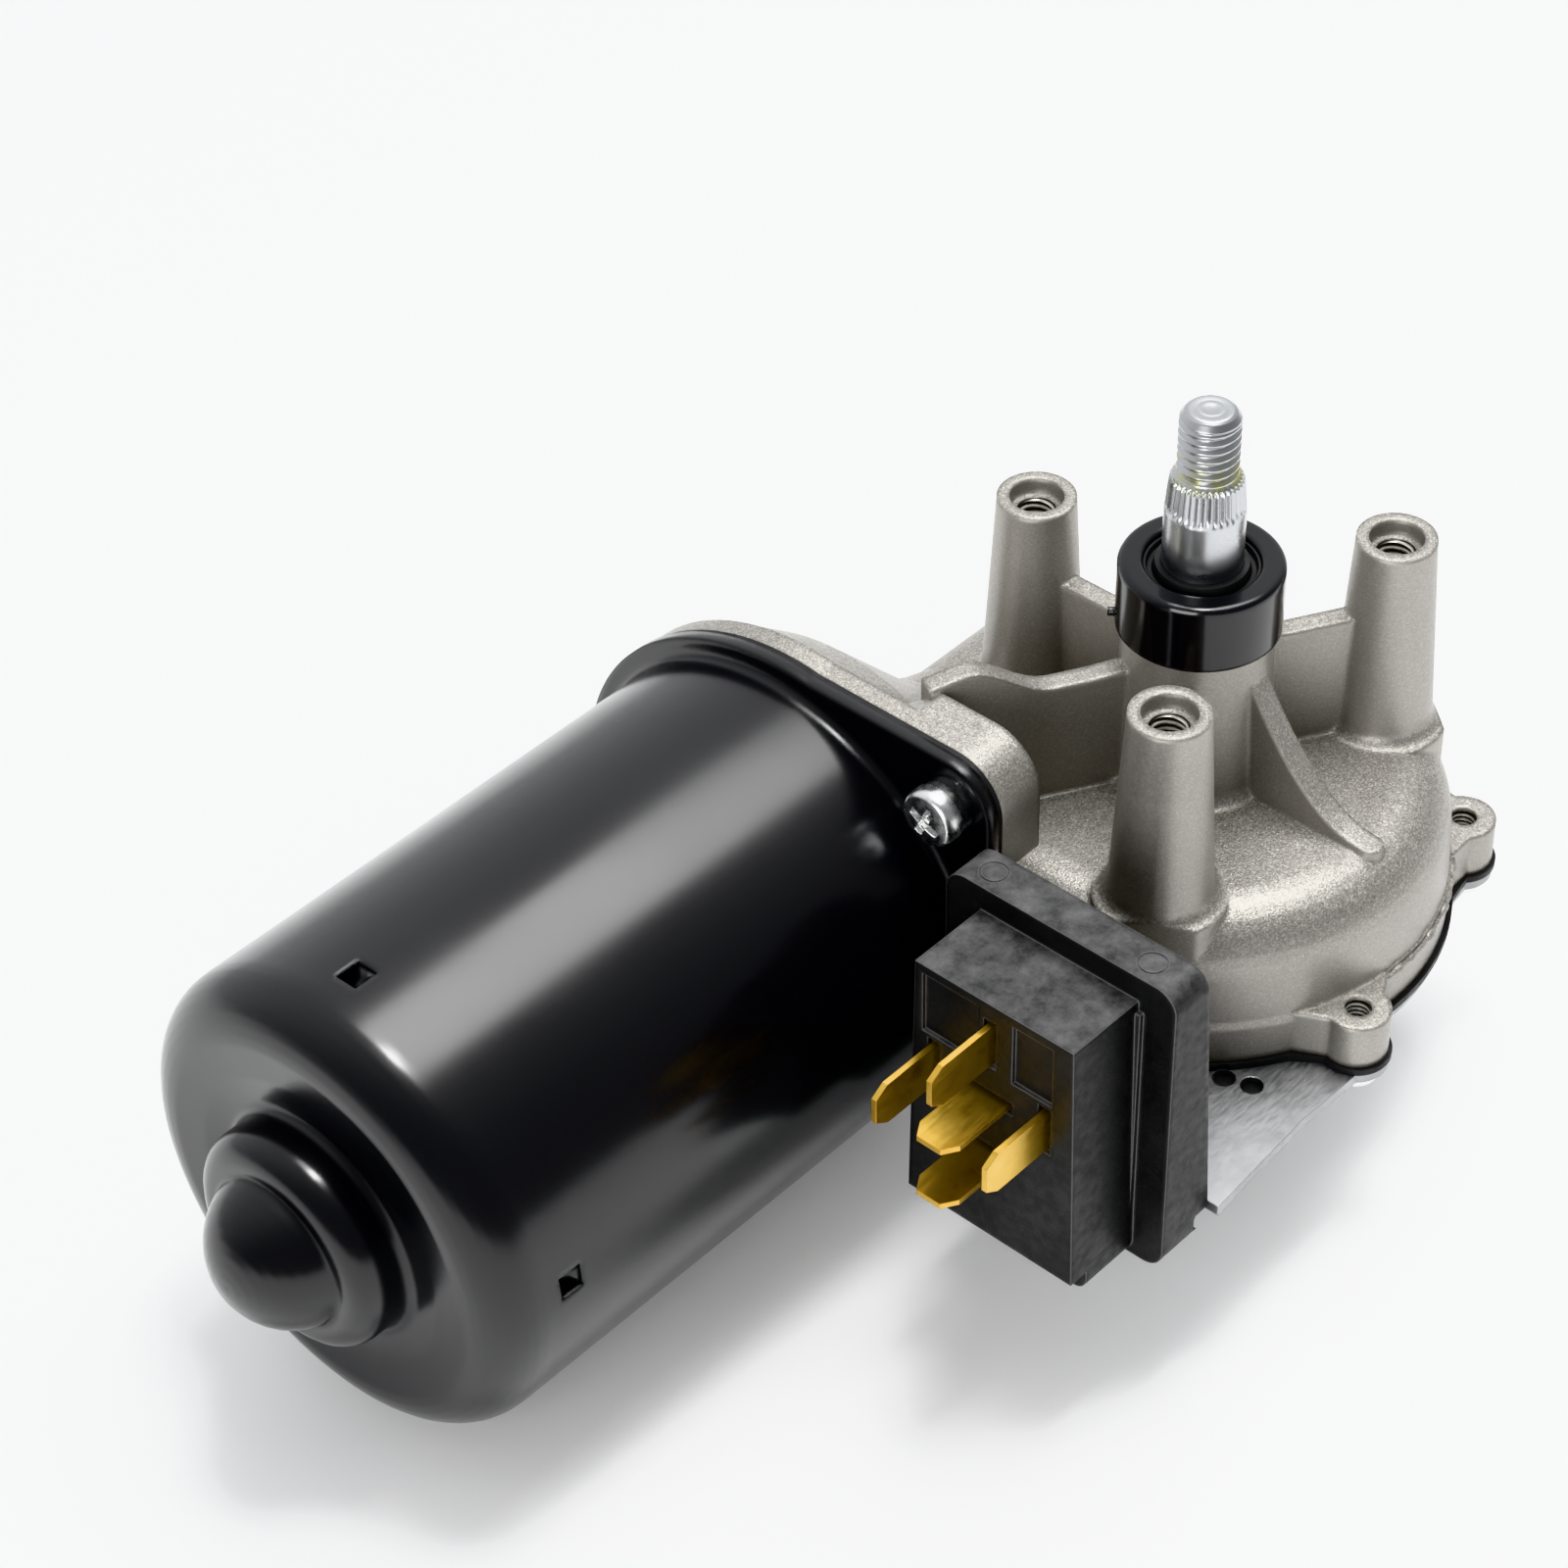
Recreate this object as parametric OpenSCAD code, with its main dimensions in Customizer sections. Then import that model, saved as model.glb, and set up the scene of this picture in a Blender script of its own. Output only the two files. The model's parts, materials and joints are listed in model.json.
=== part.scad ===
// Wiper motor: a permanent-magnet motor in a drawn steel can, driving a worm gearbox in a cast housing.
// Z is the output shaft's axis, pointing to its thread.
// Z = 0 is the mounting plane on top of the three posts.
// The motor's axis runs along X beside the output shaft, with the can towards -X.

/* [Output shaft] */
// Diameter of the shaft
shaft_d = 10.4; // [9.6:0.1:11]
// Diameter of the thread at the shaft's tip
thread_d = 7.9; // [6:0.1:8.4]
// Height of the shaft's tip above the mounting plane
shaft_tip = 26.3; // [24:0.1:32]
// Length of the thread
thread_len = 9.3; // [6:0.1:11]
// Length of the serrated taper below the thread
knurl_len = 4.6; // [3:0.1:6]
// Diameter at the small end of the serrated taper
knurl_small_d = 9.2; // [8.8:0.1:9.5]
// Number of serrations
knurl_count = 36; // [24:1:48]

/* [Mounting posts] */
// Diameter of the circle that the three posts stand on
post_circle_d = 53.7; // [50:0.1:55]
// Diameter of a post at the mounting plane
post_top_d = 10.5; // [9.6:0.1:12]
// Draft angle of a post
post_draft = 3; // [1:0.5:4]
// Wall diameter of the M6 thread in a post
post_hole_d = 5.2; // [4.8:0.1:6]
// Depth of the thread below the counterbore
post_hole_depth = 14; // [10:0.5:18]
// Diameter of the counterbore above the thread
counterbore_d = 7.2; // [6.4:0.1:8]
// Depth of the counterbore
counterbore_depth = 2.2; // [1:0.1:4]

/* [Gear housing] */
// Distance of the deck below the mounting plane
deck_drop = 29; // [27:0.5:31]
// Distance of the base face below the mounting plane
base_drop = 50.6; // [50:0.1:53]
// Radius of the round wall
house_r = 34.5; // [34:0.1:36]
// Wall thickness of the casting
house_wall = 3; // [2.4:0.1:3.4]
// Radius of the rounded shoulder
shoulder_r = 8; // [4:0.5:10]
// Height of the rim at the base
rim_h = 6.2; // [4:0.1:8]
// Distance by which the rim stands out
rim_out = 0.6; // [0.4:0.1:1.6]
// Diameter of the tower at its top
tower_d = 19; // [18.6:0.1:20]
// Thickness of the webs and ribs
rib_t = 3; // [2:0.1:4]
// Distance of the webs' top edges below the mounting plane
web_drop = 10.6; // [8:0.2:14]
// Radius of an ear for a cover screw
ear_r = 4.3; // [3.8:0.1:5]
// Distance of the ears' holes from the round wall's outside
ear_out = 3.2; // [2.7:0.1:4.5]

/* [Worm gear] */
// Number of teeth on the worm wheel
wheel_teeth = 47; // [45:1:48]
// Gap between the worm wheel's tip circle and the wall round it
wheel_gap = 1.0625; // [0.5625:0.0625:1.5]
// Pitch diameter of the worm
worm_pitch_d = 10.25; // [9.8:0.05:10.8]
// Width of the worm wheel's toothed rim
wheel_w = 9; // [7:0.5:10]
// Length of the worm's thread
worm_len = 20; // [14:1:22]
// Gap between the flanks of worm and wheel
flank_gap = 0.3; // [0.2:0.05:0.45]

/* [Motor can] */
// Height of the motor's axis above the base face
axis_height = 8.1; // [7.5:0.1:8.6]
// Outer radius of the can
can_r = 32.3; // [31.5:0.1:33.5]
// Wall thickness of the can
can_wall = 1.8; // [1.4:0.1:2.2]
// Length of the can from its flange's face to its end face
can_len = 83.4; // [78:0.2:90]
// Radius of the can's rounded shoulder
can_round = 7; // [5:0.5:10]
// Radius of the nose on the can's end
nose_r = 15.2; // [14:0.1:17]
// Height of the nose
nose_h = 6.4; // [6:0.1:9]
// Radius of the dome on the nose
dome_r = 10.9; // [10:0.1:12]
// Distance of the flange's flat sides from the can's outside
flange_out = 2.7; // [2.3:0.1:4.1]
// Radius of the flange's ears
flange_ear_r = 7.2; // [6.4:0.1:8]
// Thickness of the gasket under the flange
flange_gasket_t = 1; // [0.6:0.1:1.5]
// Thickness of the housing's flange
neck_flange_t = 7.4; // [6:0.2:9]

/* [Seal cap] */
// Outer diameter of the seal cap
cap_d = 21.4; // [21:0.1:23]
// Height of the cap's top above the mounting plane
cap_top = 3.2; // [2.6:0.1:4]
// Height of the seal cap
cap_h = 9.7; // [8:0.1:11]
// Diameter of the opening in the seal cap
cap_hole_d = 15; // [13:0.1:16]

/* [Cover] */
// Thickness of the cover's gasket
cover_gasket_t = 1; // [0.6:0.1:1.4]
// Thickness of the steel cover plate
cover_t = 1.5; // [1:0.1:2]
// Distance by which the cover stands out past the rim
cover_out = 0.7; // [0.5:0.1:1.5]

/* [Connector] */
// Width of the terminal block
block_w = 24.3; // [23:0.1:26]
// Height of the terminal block
block_h = 38.6; // [34:0.2:40]
// Depth of the terminal block in front of its flange
block_depth = 12; // [9:0.2:14]
// Width of the connector's flange
plug_flange_w = 35.3; // [33:0.1:36]
// Thickness of the connector's flange at its top
plug_flange_t = 6.1; // [5:0.1:7]
// Height of the connector's flange
plug_flange_h = 46; // [43:0.2:47]
// Width of a blade terminal
blade_w = 6.3; // [4.8:0.1:6.3]
// Thickness of a blade terminal
blade_t = 0.8; // [0.6:0.1:1]
// Length of a blade terminal in front of the block
blade_len = 11; // [8:0.5:13]
// Spacing of the blade terminals
blade_pitch = 8.6; // [8.2:0.1:9.2]

/* [Armature] */
// Diameter of the armature shaft
rotor_shaft_d = 8; // [7.4:0.1:8.4]
// Thickness of the magnets
magnet_t = 6; // [5:0.1:6.6]
// Gap between the magnets and the armature's core
air_gap = 0.7; // [0.5:0.1:1]
// Length of the armature's core
core_len = 36; // [30:1:38]
// Number of slots in the core
slot_count = 12; // [8:1:14]
// Diameter of the commutator
commutator_d = 22; // [20:0.5:24]

/* [Hidden] */

$fn = 96;
run_gap = 0.03;        // radial clearance of a running fit
play = 0.3;            // clearance between parts that move past each other
eps = 0.01;            // overlap that lets cuts break through a face
cast_grey = [0.62, 0.60, 0.56];
zinc = [0.78, 0.79, 0.80];
brass = [0.80, 0.62, 0.25];
black_paint = [0.05, 0.05, 0.05];
black_plastic = [0.11, 0.11, 0.11];
steel = [0.60, 0.61, 0.63];
copper = [0.72, 0.40, 0.22];
rubber = [0.08, 0.08, 0.08];
bronze = [0.65, 0.48, 0.28];
nylon = [0.90, 0.87, 0.76];

// Levels along Z
deck_z = -deck_drop;
base_z = -base_drop;
motor_z = base_z + axis_height;
cover_top_z = base_z - cover_gasket_t;
cover_bottom_z = cover_top_z - cover_t;
cap_skin = 1;
tower_top_z = -0.4;
recess_depth = 2.8;    // recess in the tower's top for washer and circlip
upper_bush_top = tower_top_z - recess_depth;
upper_bush_len = 9;
lower_bush_len = 12;
washer_t = 0.5;
circlip_t = 1;
hub_face_z = deck_z - 5.6;   // end of the boss inside the housing
ceiling_z = deck_z - house_wall;
wheel_bottom_z = motor_z - wheel_w / 2;
hub_top_z = hub_face_z - washer_t - 0.15;
hub_bottom_z = wheel_bottom_z - 1;

// Radii about the output shaft
shaft_r = shaft_d / 2;
cavity_r = house_r - house_wall;
bush_r = shaft_r + 2;
tower_r = tower_d / 2;
tower_foot_r = tower_r + 1;
post_r = post_circle_d / 2;
post_angles = [90, 210, 330];
web_angles = [90, 210, 330];
neck_rib_angle = 150;
buttress_angle = 271;
rim_r = house_r + rim_out;
cover_r = rim_r + cover_out;
ear_circle_r = house_r + ear_out;
hub_r = 9.5;
bore_boss_r = 11;

// Worm gear
worm_pitch_r = worm_pitch_d / 2;
wheel_tip_r = cavity_r - wheel_gap;
gear_module = wheel_tip_r / (wheel_teeth / 2 + 0.85);
wheel_pitch_r = gear_module * wheel_teeth / 2;
wheel_root_r = wheel_pitch_r - gear_module * 1.1;
wheel_rim_inner_r = wheel_root_r - 4;
motor_y = wheel_pitch_r + worm_pitch_r;
worm_pitch = PI * gear_module;
worm_tip_r = worm_pitch_r + gear_module * 0.85;
worm_root_r = worm_pitch_r - gear_module * 1.1;
pressure_angle = 20;
tunnel_bore_r = worm_tip_r + 0.8;
tunnel_wall = 4;
tunnel_r = tunnel_bore_r + tunnel_wall;
tunnel_end = 23;

// Stations along X, from the gearbox to the can's dome
neck_back = -(house_r - 3.2);
motor_face = neck_back - neck_flange_t;
flange_back = motor_face - flange_gasket_t;
flange_front = flange_back - can_wall;
can_end = flange_front - can_len;
nose_front = can_end - nose_h;
dome_centre = nose_front + 2.8;
can_bore_r = can_r - can_wall;
flange_half = can_r + flange_out;
flange_ear_at = flange_half - flange_ear_r;
can_screw_shank_r = 2;
can_screw_head_r = 4;
can_screw_head_h = 3;
can_screw_len = 12;
spring_washer_t = 1.2;

// Armature
rotor_r = rotor_shaft_d / 2;
magnet_bore_r = can_bore_r - magnet_t;
core_r = magnet_bore_r - air_gap;
core_front = flange_front - 28;
core_back = core_front - core_len;
coil_len = 9;
commutator_r = commutator_d / 2;
commutator_len = 13;
commutator_front = motor_face + 2;
commutator_back = commutator_front - commutator_len;
rear_journal_r = 3.5;
tunnel_journal_r = 3;
rear_bush_r = 7.5;
rear_bush_len = 8;
rear_bush_front = can_end + 2.4;
rear_bush_back = rear_bush_front - rear_bush_len;
front_bush_len = 7;
front_bush_r = rotor_r + 4;
front_bush_back = neck_back + 3.2;
tunnel_bush_front = 12.5;
tunnel_bush_len = 6;
tunnel_bush_r = 6;
thrust_ball_r = 2.4;
bowl_r = 25;

// Connector, which stands beside the can's flange
plug_back = motor_face - 8.2;
plug_face = plug_back - plug_flange_t;
block_face = plug_face - block_depth;
plug_lip = 2.8;        // how far the flange's foot reaches back past the flange
flange_side_y = motor_y - flange_half;
plug_flange_y1 = flange_side_y - 2.8;
plug_flange_y0 = plug_flange_y1 - plug_flange_w;
plug_flange_z1 = motor_z + can_r - 0.8;
plug_flange_z0 = plug_flange_z1 - plug_flange_h;
plug_mid_y = plug_flange_y1 - plug_flange_w / 2;
block_z1 = plug_flange_z1 - 3.6;
block_z0 = block_z1 - block_h;
pin_y = plug_mid_y + 0.45;
pin_z = motor_z + 12.9;
rear_box_x1 = motor_face;
rear_box_y1 = plug_flange_y1 - 0.7;
rear_box_w = 26;
rear_box_y0 = rear_box_y1 - rear_box_w;
rear_box_z1 = plug_flange_z1 - 10;
duct_y1 = flange_side_y + 0.5;
duct_w = 20;
duct_y0 = duct_y1 - duct_w;
duct_reach = 3 - motor_face - cavity_r;
lead_hole_r = 2.8;
duct_z1 = motor_z + 8;
duct_wall = 2.5;
corner_boss_r = 4;
corner_boss = [motor_face + corner_boss_r, duct_y0];

// Cover screws: three in the ears, one in the boss beside the terminal duct
ear_angles = [-106.3, -41.3, 23.7];
ear_flare_back = 15;
ear_flare_front = [15, 25, 15];
cover_screw_at = concat([for (a = ear_angles) ear_circle_r * [cos(a), sin(a)]], [corner_boss]);
cover_screw_r = 1.7;
cover_hole_r = 1.75;
cover_screw_len = cover_t + cover_gasket_t + 3.6;
cover_head_r = 3.6;
cover_head_h = 2.2;
plug_screw_r = 1.4;
plug_head_r = 2.8;
plug_head_h = 1.8;
plug_screw_len = cover_t + 4.6;
plug_screw_x = plug_back + plug_lip + plug_head_r + play;
plug_screw_at = [[plug_screw_x, rear_box_y0 + 4], [plug_screw_x, rear_box_y1 - 4]];

// Places children on the motor's axis: their Z runs along +X and their Y along +Y.
module along_motor(x = 0) {
    translate([x, motor_y, motor_z]) rotate([0, 90, 0]) children();
}

// A cylinder along the motor's axis between two stations.
module motor_rod(x0, x1, r) {
    along_motor(x0) cylinder(h = x1 - x0, r = r);
}

// A tube along Z.
module tube(r_out, r_in, h) {
    difference() {
        cylinder(h = h, r = r_out);
        translate([0, 0, -1]) cylinder(h = h + 2, r = r_in);
    }
}

// Points of an arc from one angle to another.
function arc(c, r, a0, a1, n = 8) =
    [for (i = [0:n]) let (a = a0 + (a1 - a0) * i / n) c + r * [cos(a), sin(a)]];

// Outline of the motor's flange: a round plate with two rounded square corners that carry the screws.
module flange_outline(half) {
    at = half - flange_ear_r;
    circle(r = half + 0.3);
    for (s = [-1, 1]) {
        translate([s * at, s * at]) circle(r = flange_ear_r);
        translate([min(0, s * half), min(0, s * at)]) square([half, at]);
        translate([min(0, s * at), min(0, s * half)]) square([at, half]);
    }
}

// Drafted round boss of height h above the deck, with a fillet at its foot and a root that reaches below.
module drafted_boss(top_r, foot_r, h, fillet, root) {
    sink = 0.12;
    rotate_extrude()
        polygon(concat([[0, -root], [foot_r + fillet, -root]],
            arc([foot_r + fillet, fillet - sink], fillet, 270, 180, 6), [[top_r, h], [0, h]]));
}

// A vertical rib that stands on the deck: its side outline is given as radius and height.
module radial_rib(angle, t, outline) {
    rotate([0, 0, angle]) translate([0, t / 2, 0]) rotate([90, 0, 0])
        linear_extrude(t) polygon(outline);
}

// A post whose foot runs down into the rounded shoulder.
module post() {
    foot_r = post_top_d / 2 + tan(post_draft) * deck_drop;
    translate([0, 0, deck_z]) drafted_boss(post_top_d / 2, foot_r, deck_drop, 2, shoulder_r);
}

module post_bore() {
    translate([0, 0, -counterbore_depth]) cylinder(h = counterbore_depth + 1, r = counterbore_d / 2);
    translate([0, 0, -counterbore_depth - post_hole_depth])
        cylinder(h = post_hole_depth + 1, r = post_hole_d / 2);
}

// Round body with its shoulder and base rim.
module body_shell() {
    rotate_extrude()
        polygon(concat([[0, base_z], [rim_r, base_z], [rim_r, base_z + rim_h - 0.8],
            [house_r + 0.3, base_z + rim_h]],
            arc([house_r - shoulder_r, deck_z - shoulder_r], shoulder_r, 0, 90, 8), [[0, deck_z]]));
}

// Outline of the ears: round lobes flared into the rim on both sides.
module ear_outline(r, rim) {
    for (i = [0:len(ear_angles) - 1]) {
        a = ear_angles[i];
        before = a - ear_flare_back;
        after = a + ear_flare_front[i];
        c = ear_circle_r * [cos(a), sin(a)];
        side = 0.97 * r * [-sin(a), cos(a)];
        translate(c) circle(r = r);
        polygon([c + side, (rim - 0.4) * [cos(after), sin(after)], (rim - 3) * [cos(a), sin(a)],
            (rim - 0.4) * [cos(before), sin(before)], c - side]);
    }
}

// Tunnel for the worm, with the cone that widens to the motor's flange.
module worm_tunnel() {
    top = flange_half - 0.2;
    along_motor(0) rotate_extrude()
        polygon([[0, motor_face + 2], [top, motor_face + 2], [top - 0.3, motor_face + 3.2],
            [top - 2.1, motor_face + 5.8], [top - 4.8, motor_face + 9.6],
            [tunnel_r + 4.2, motor_face + 24.2], [tunnel_r + 2.1, motor_face + 27.2],
            [tunnel_r + 0.9, motor_face + 30.2], [tunnel_r, motor_face + 34],
            [tunnel_r, tunnel_end - 2], [tunnel_r - 2, tunnel_end], [0, tunnel_end]]);
}

// Outline of the thick corners of the housing's flange, which carry the can's screws.
module corner_outline(half) {
    at = half - flange_ear_r;
    near = half - 16;
    for (s = [-1, 1]) {
        translate([s * at, s * at]) circle(r = flange_ear_r);
        polygon(s * [[half, at], [half, near], [half - 12, 4], [4, half - 12], [near, half], [at, half]]);
    }
}

module housing_outside() {
    rib_deep = deck_z - 1;
    body_shell();
    // Tower
    translate([0, 0, deck_z]) drafted_boss(tower_r, tower_foot_r, tower_top_z - deck_z, 2, 1);
    // Posts and the webs that tie them to the tower
    intersection() {
        for (a = post_angles) rotate([0, 0, a]) translate([post_r, 0, 0]) post();
        translate([0, 0, deck_z - 2 * shoulder_r])
            cylinder(h = deck_drop + 2 * shoulder_r + 1, r = house_r - 0.5);
    }
    for (a = web_angles)
        radial_rib(a, rib_t, [[tower_r - 3, rib_deep], [post_r, rib_deep], [post_r, -web_drop + 0.3],
            [post_r - 4, -web_drop - 0.3], [tower_r + 3, -web_drop - 0.3], [tower_r - 3, -web_drop + 0.4]]);
    // Wavy rib from the tower to the neck
    neck_r = -neck_back / -cos(neck_rib_angle);
    rise_r = tower_r + 10.5;
    rise_len = 11.4;
    radial_rib(neck_rib_angle, rib_t, concat([[tower_r - 3, rib_deep], [tower_r - 3, -web_drop - 0.3],
        [tower_r + 5, -web_drop - 0.9]],
        [for (i = [0:8]) let (u = i / 8)
            [rise_r + u * rise_len, -web_drop - 0.9 + 5.1 * (3 - 2 * u) * u * u]],
        [[neck_r + 0.6, -web_drop + 3], [neck_r + 0.6, rib_deep]]));
    // Buttress that sweeps down from the tower to the edge of the deck
    buttress_end = house_r - 6;
    radial_rib(buttress_angle, rib_t + 0.5, concat([[tower_r - 3, rib_deep]],
        [for (i = [0:10]) let (u = i / 10)
            [tower_r + u * (buttress_end - tower_r),
            -web_drop - (deck_drop - web_drop - 0.7) * (1 - pow(1 - u, 1.9))]],
        [[buttress_end, rib_deep]]));
    rotate([0, 0, buttress_angle]) translate([buttress_end, 0, rib_deep])
        cylinder(h = 1.7, r = (rib_t + 0.5) / 2);
    // Ears for the cover's screws
    translate([0, 0, base_z]) linear_extrude(rim_h + 0.4) ear_outline(ear_r, house_r);
    // Worm tunnel, cut flat at the base where the cover lies
    difference() {
        worm_tunnel();
        intersection() {
            translate([0, 0, base_z - 60]) cylinder(h = 60, r = cover_r + 0.5);
            translate([neck_back, -60, base_z - 60]) cube([120, 120, 60]);
        }
        translate([-12, 0, base_z - 60]) cube([60, 100, 60]);
    }
    // Motor flange, thick at its corners only
    along_motor(motor_face) linear_extrude(3) flange_outline(flange_half - 0.4);
    along_motor(motor_face) linear_extrude(neck_flange_t) corner_outline(flange_half - 0.4);
    // Duct for the terminals and the boss beside it
    translate([motor_face, duct_y0, base_z])
        cube([-motor_face - cavity_r + 4, duct_y1 - duct_y0, duct_z1 - base_z]);
    translate([corner_boss[0], corner_boss[1], base_z]) cylinder(h = duct_z1 - base_z, r = corner_boss_r);
}

module gear_housing() color(cast_grey) difference() {
    housing_outside();
    // Gear chamber, with the boss round the shaft left standing in it
    difference() {
        translate([0, 0, base_z - 1]) cylinder(h = ceiling_z - base_z + 1, r = cavity_r);
        translate([0, 0, hub_face_z]) cylinder(h = ceiling_z - hub_face_z + 1, r = bore_boss_r);
    }
    // Shaft bore and the recess in the tower's top
    translate([0, 0, hub_face_z - 1]) cylinder(h = -hub_face_z, r = bush_r);
    translate([0, 0, hub_face_z]) cylinder(h = tower_top_z - hub_face_z + 1, r = bush_r);
    translate([0, 0, upper_bush_top]) cylinder(h = recess_depth + 1, r = bush_r + 0.4);
    for (a = post_angles) rotate([0, 0, a]) translate([post_r, 0, 0]) post_bore();
    for (p = cover_screw_at) translate([p[0], p[1], base_z - 1]) cylinder(h = 12, r = cover_hole_r);
    // Bowl for the brush gear, bearing seats and worm bore along the motor's axis
    motor_rod(motor_face - 1, motor_face + 3, can_bore_r - 0.2);
    motor_rod(motor_face - 1, neck_back - 2.2, bowl_r);
    along_motor(neck_back - 2.2 - eps)
        cylinder(h = front_bush_back - neck_back + 2.2 + eps, r1 = bowl_r, r2 = front_bush_r + 2);
    motor_rod(front_bush_back - eps, front_bush_back + front_bush_len, front_bush_r);
    motor_rod(front_bush_back + front_bush_len - eps, tunnel_bush_front, tunnel_bore_r);
    motor_rod(tunnel_bush_front - eps, tunnel_bush_front + tunnel_bush_len, tunnel_bush_r);
    motor_rod(tunnel_bush_front + tunnel_bush_len - eps, tunnel_end + 1, 3.4);
    // Screw holes in the motor's flange
    for (s = [-1, 1]) along_motor(motor_face) translate([s * flange_ear_at, s * flange_ear_at, -1])
        cylinder(h = neck_flange_t + 2, r = can_screw_shank_r - 0.1);
    // Inside of the terminal duct, its window to the gear chamber, and the hole for the motor's leads
    translate([motor_face - 1, duct_y0 + duct_wall, base_z - 1])
        cube([duct_reach, duct_w - 2 * duct_wall, duct_z1 - base_z + 1 - duct_wall]);
    translate([motor_face + 5, duct_y0 + 8, base_z - 1]) cube([duct_reach + 1.8, 7, 8]);
    translate([motor_face + 4, duct_y1 - duct_wall - 1, motor_z]) rotate([-90, 0, 0])
        cylinder(h = motor_y - bowl_r - duct_y1 + duct_wall + 2.5, r = lead_hole_r);
}

module shaft_bushes() color(bronze) {
    translate([0, 0, upper_bush_top - upper_bush_len]) tube(bush_r, shaft_r + run_gap, upper_bush_len);
    translate([0, 0, hub_face_z]) tube(bush_r, shaft_r + run_gap, lower_bush_len);
}

// Split ring in the shaft's groove, and the two washers that take the shaft's end play.
circlip_z = upper_bush_top + washer_t + 0.15;
circlip_groove_r = shaft_r - 0.6;
module shaft_circlip() color(steel) translate([0, 0, circlip_z + 0.1]) difference() {
    tube(shaft_r + 1.1, circlip_groove_r + 0.05, circlip_t);
    translate([0, -1.6, -1]) cube([20, 3.2, circlip_t + 2]);
}

module shaft_washers() color(steel) {
    translate([0, 0, upper_bush_top + 0.05]) tube(shaft_r + 1.9, shaft_r + run_gap, washer_t);
    translate([0, 0, hub_face_z - washer_t - 0.05]) tube(hub_r, shaft_r + run_gap, washer_t);
}

// Rubber seal with a lip that stands up against the shaft.
module shaft_seal() color(rubber) {
    lip_top = cap_top - 0.1;
    floor_z = cap_top - 1.5;
    shelf_z = cap_top - cap_skin - 0.05;
    rotate_extrude()
        polygon([[shaft_r + 0.9, tower_top_z], [tower_r - 0.1, tower_top_z], [tower_r - 0.1, shelf_z],
            [cap_hole_d / 2 - 0.05, shelf_z], [cap_hole_d / 2 - 0.05, cap_top - 0.7],
            [shaft_r + 1.9, cap_top - 0.7], [shaft_r + 1.7, floor_z], [shaft_r + 1.1, floor_z],
            [shaft_r + 0.8, lip_top], [shaft_r + run_gap, lip_top], [shaft_r + run_gap, lip_top - 0.7],
            [shaft_r + 0.6, floor_z - 0.3]]);
}

module seal_cap() color(black_paint) {
    cap_r = cap_d / 2;
    bottom = cap_top - cap_h;
    round_r = 0.9;
    // Small nub on the cap's side
    rotate([0, 0, 127.5]) translate([cap_r - 0.4, 0, bottom + 0.8]) rotate([0, 90, 0])
        cylinder(h = 1.3, r = 0.6);
    rotate_extrude()
        polygon(concat([[tower_r + 0.35, bottom], [cap_r, bottom]],
            arc([cap_r - round_r, cap_top - round_r], round_r, 0, 90, 5),
            [[cap_hole_d / 2 + 0.3, cap_top], [cap_hole_d / 2, cap_top - 0.3],
            [cap_hole_d / 2, cap_top - cap_skin], [tower_r + 0.05, cap_top - cap_skin],
            [tower_r + 0.05, tower_top_z - 1]]));
}

module output_shaft() color(zinc) {
    thread_bottom = shaft_tip - thread_len;
    knurl_top = thread_bottom - 0.9;
    knurl_bottom = knurl_top - knurl_len;
    chamfer = 1.1;
    difference() {
        rotate_extrude()
            polygon([[0, hub_bottom_z], [shaft_r - 0.5, hub_bottom_z], [shaft_r, hub_bottom_z + 0.5],
                [shaft_r, circlip_z], [circlip_groove_r, circlip_z],
                [circlip_groove_r, circlip_z + circlip_t + 0.2], [shaft_r, circlip_z + circlip_t + 0.2],
                [shaft_r, knurl_bottom], [shaft_r - 0.5, knurl_bottom + 0.2],
                [knurl_small_d / 2 - 0.5, knurl_top - 0.1], [thread_d / 2, thread_bottom],
                [thread_d / 2, shaft_tip - chamfer], [thread_d / 2 - chamfer, shaft_tip], [0, shaft_tip]]);
        // Centre mark in the tip
        translate([0, 0, shaft_tip - 0.7]) cylinder(h = 0.8, r1 = 0.4, r2 = 1.3);
    }
    // Serrated taper that grips the crank
    translate([0, 0, knurl_bottom - 0.3])
        linear_extrude(height = knurl_len + 0.3, scale = knurl_small_d / shaft_d)
            polygon([for (i = [0:2 * knurl_count - 1]) let (r = shaft_r - (i % 2 == 0 ? 0.02 : 0.4))
                r * [cos(180 * (i + 0.5) / knurl_count), sin(180 * (i + 0.5) / knurl_count)]]);
}

// Outline of the worm wheel's teeth, with a gap on the motor's side.
function tooth_side(r) = (90 / wheel_teeth - (r - wheel_pitch_r) * tan(pressure_angle) / r * 180 / PI)
    - flank_gap / wheel_pitch_r * 90 / PI;
module wheel_outline() {
    step = 360 / wheel_teeth;
    polygon([for (i = [0:wheel_teeth - 1]) let (mid = 90 + step * (i + 0.5))
        for (q = [[wheel_root_r, -1], [wheel_tip_r, -1], [wheel_tip_r, 1], [wheel_root_r, 1]])
            let (a = mid + q[1] * tooth_side(q[0])) q[0] * [cos(a), sin(a)]]);
}

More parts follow.
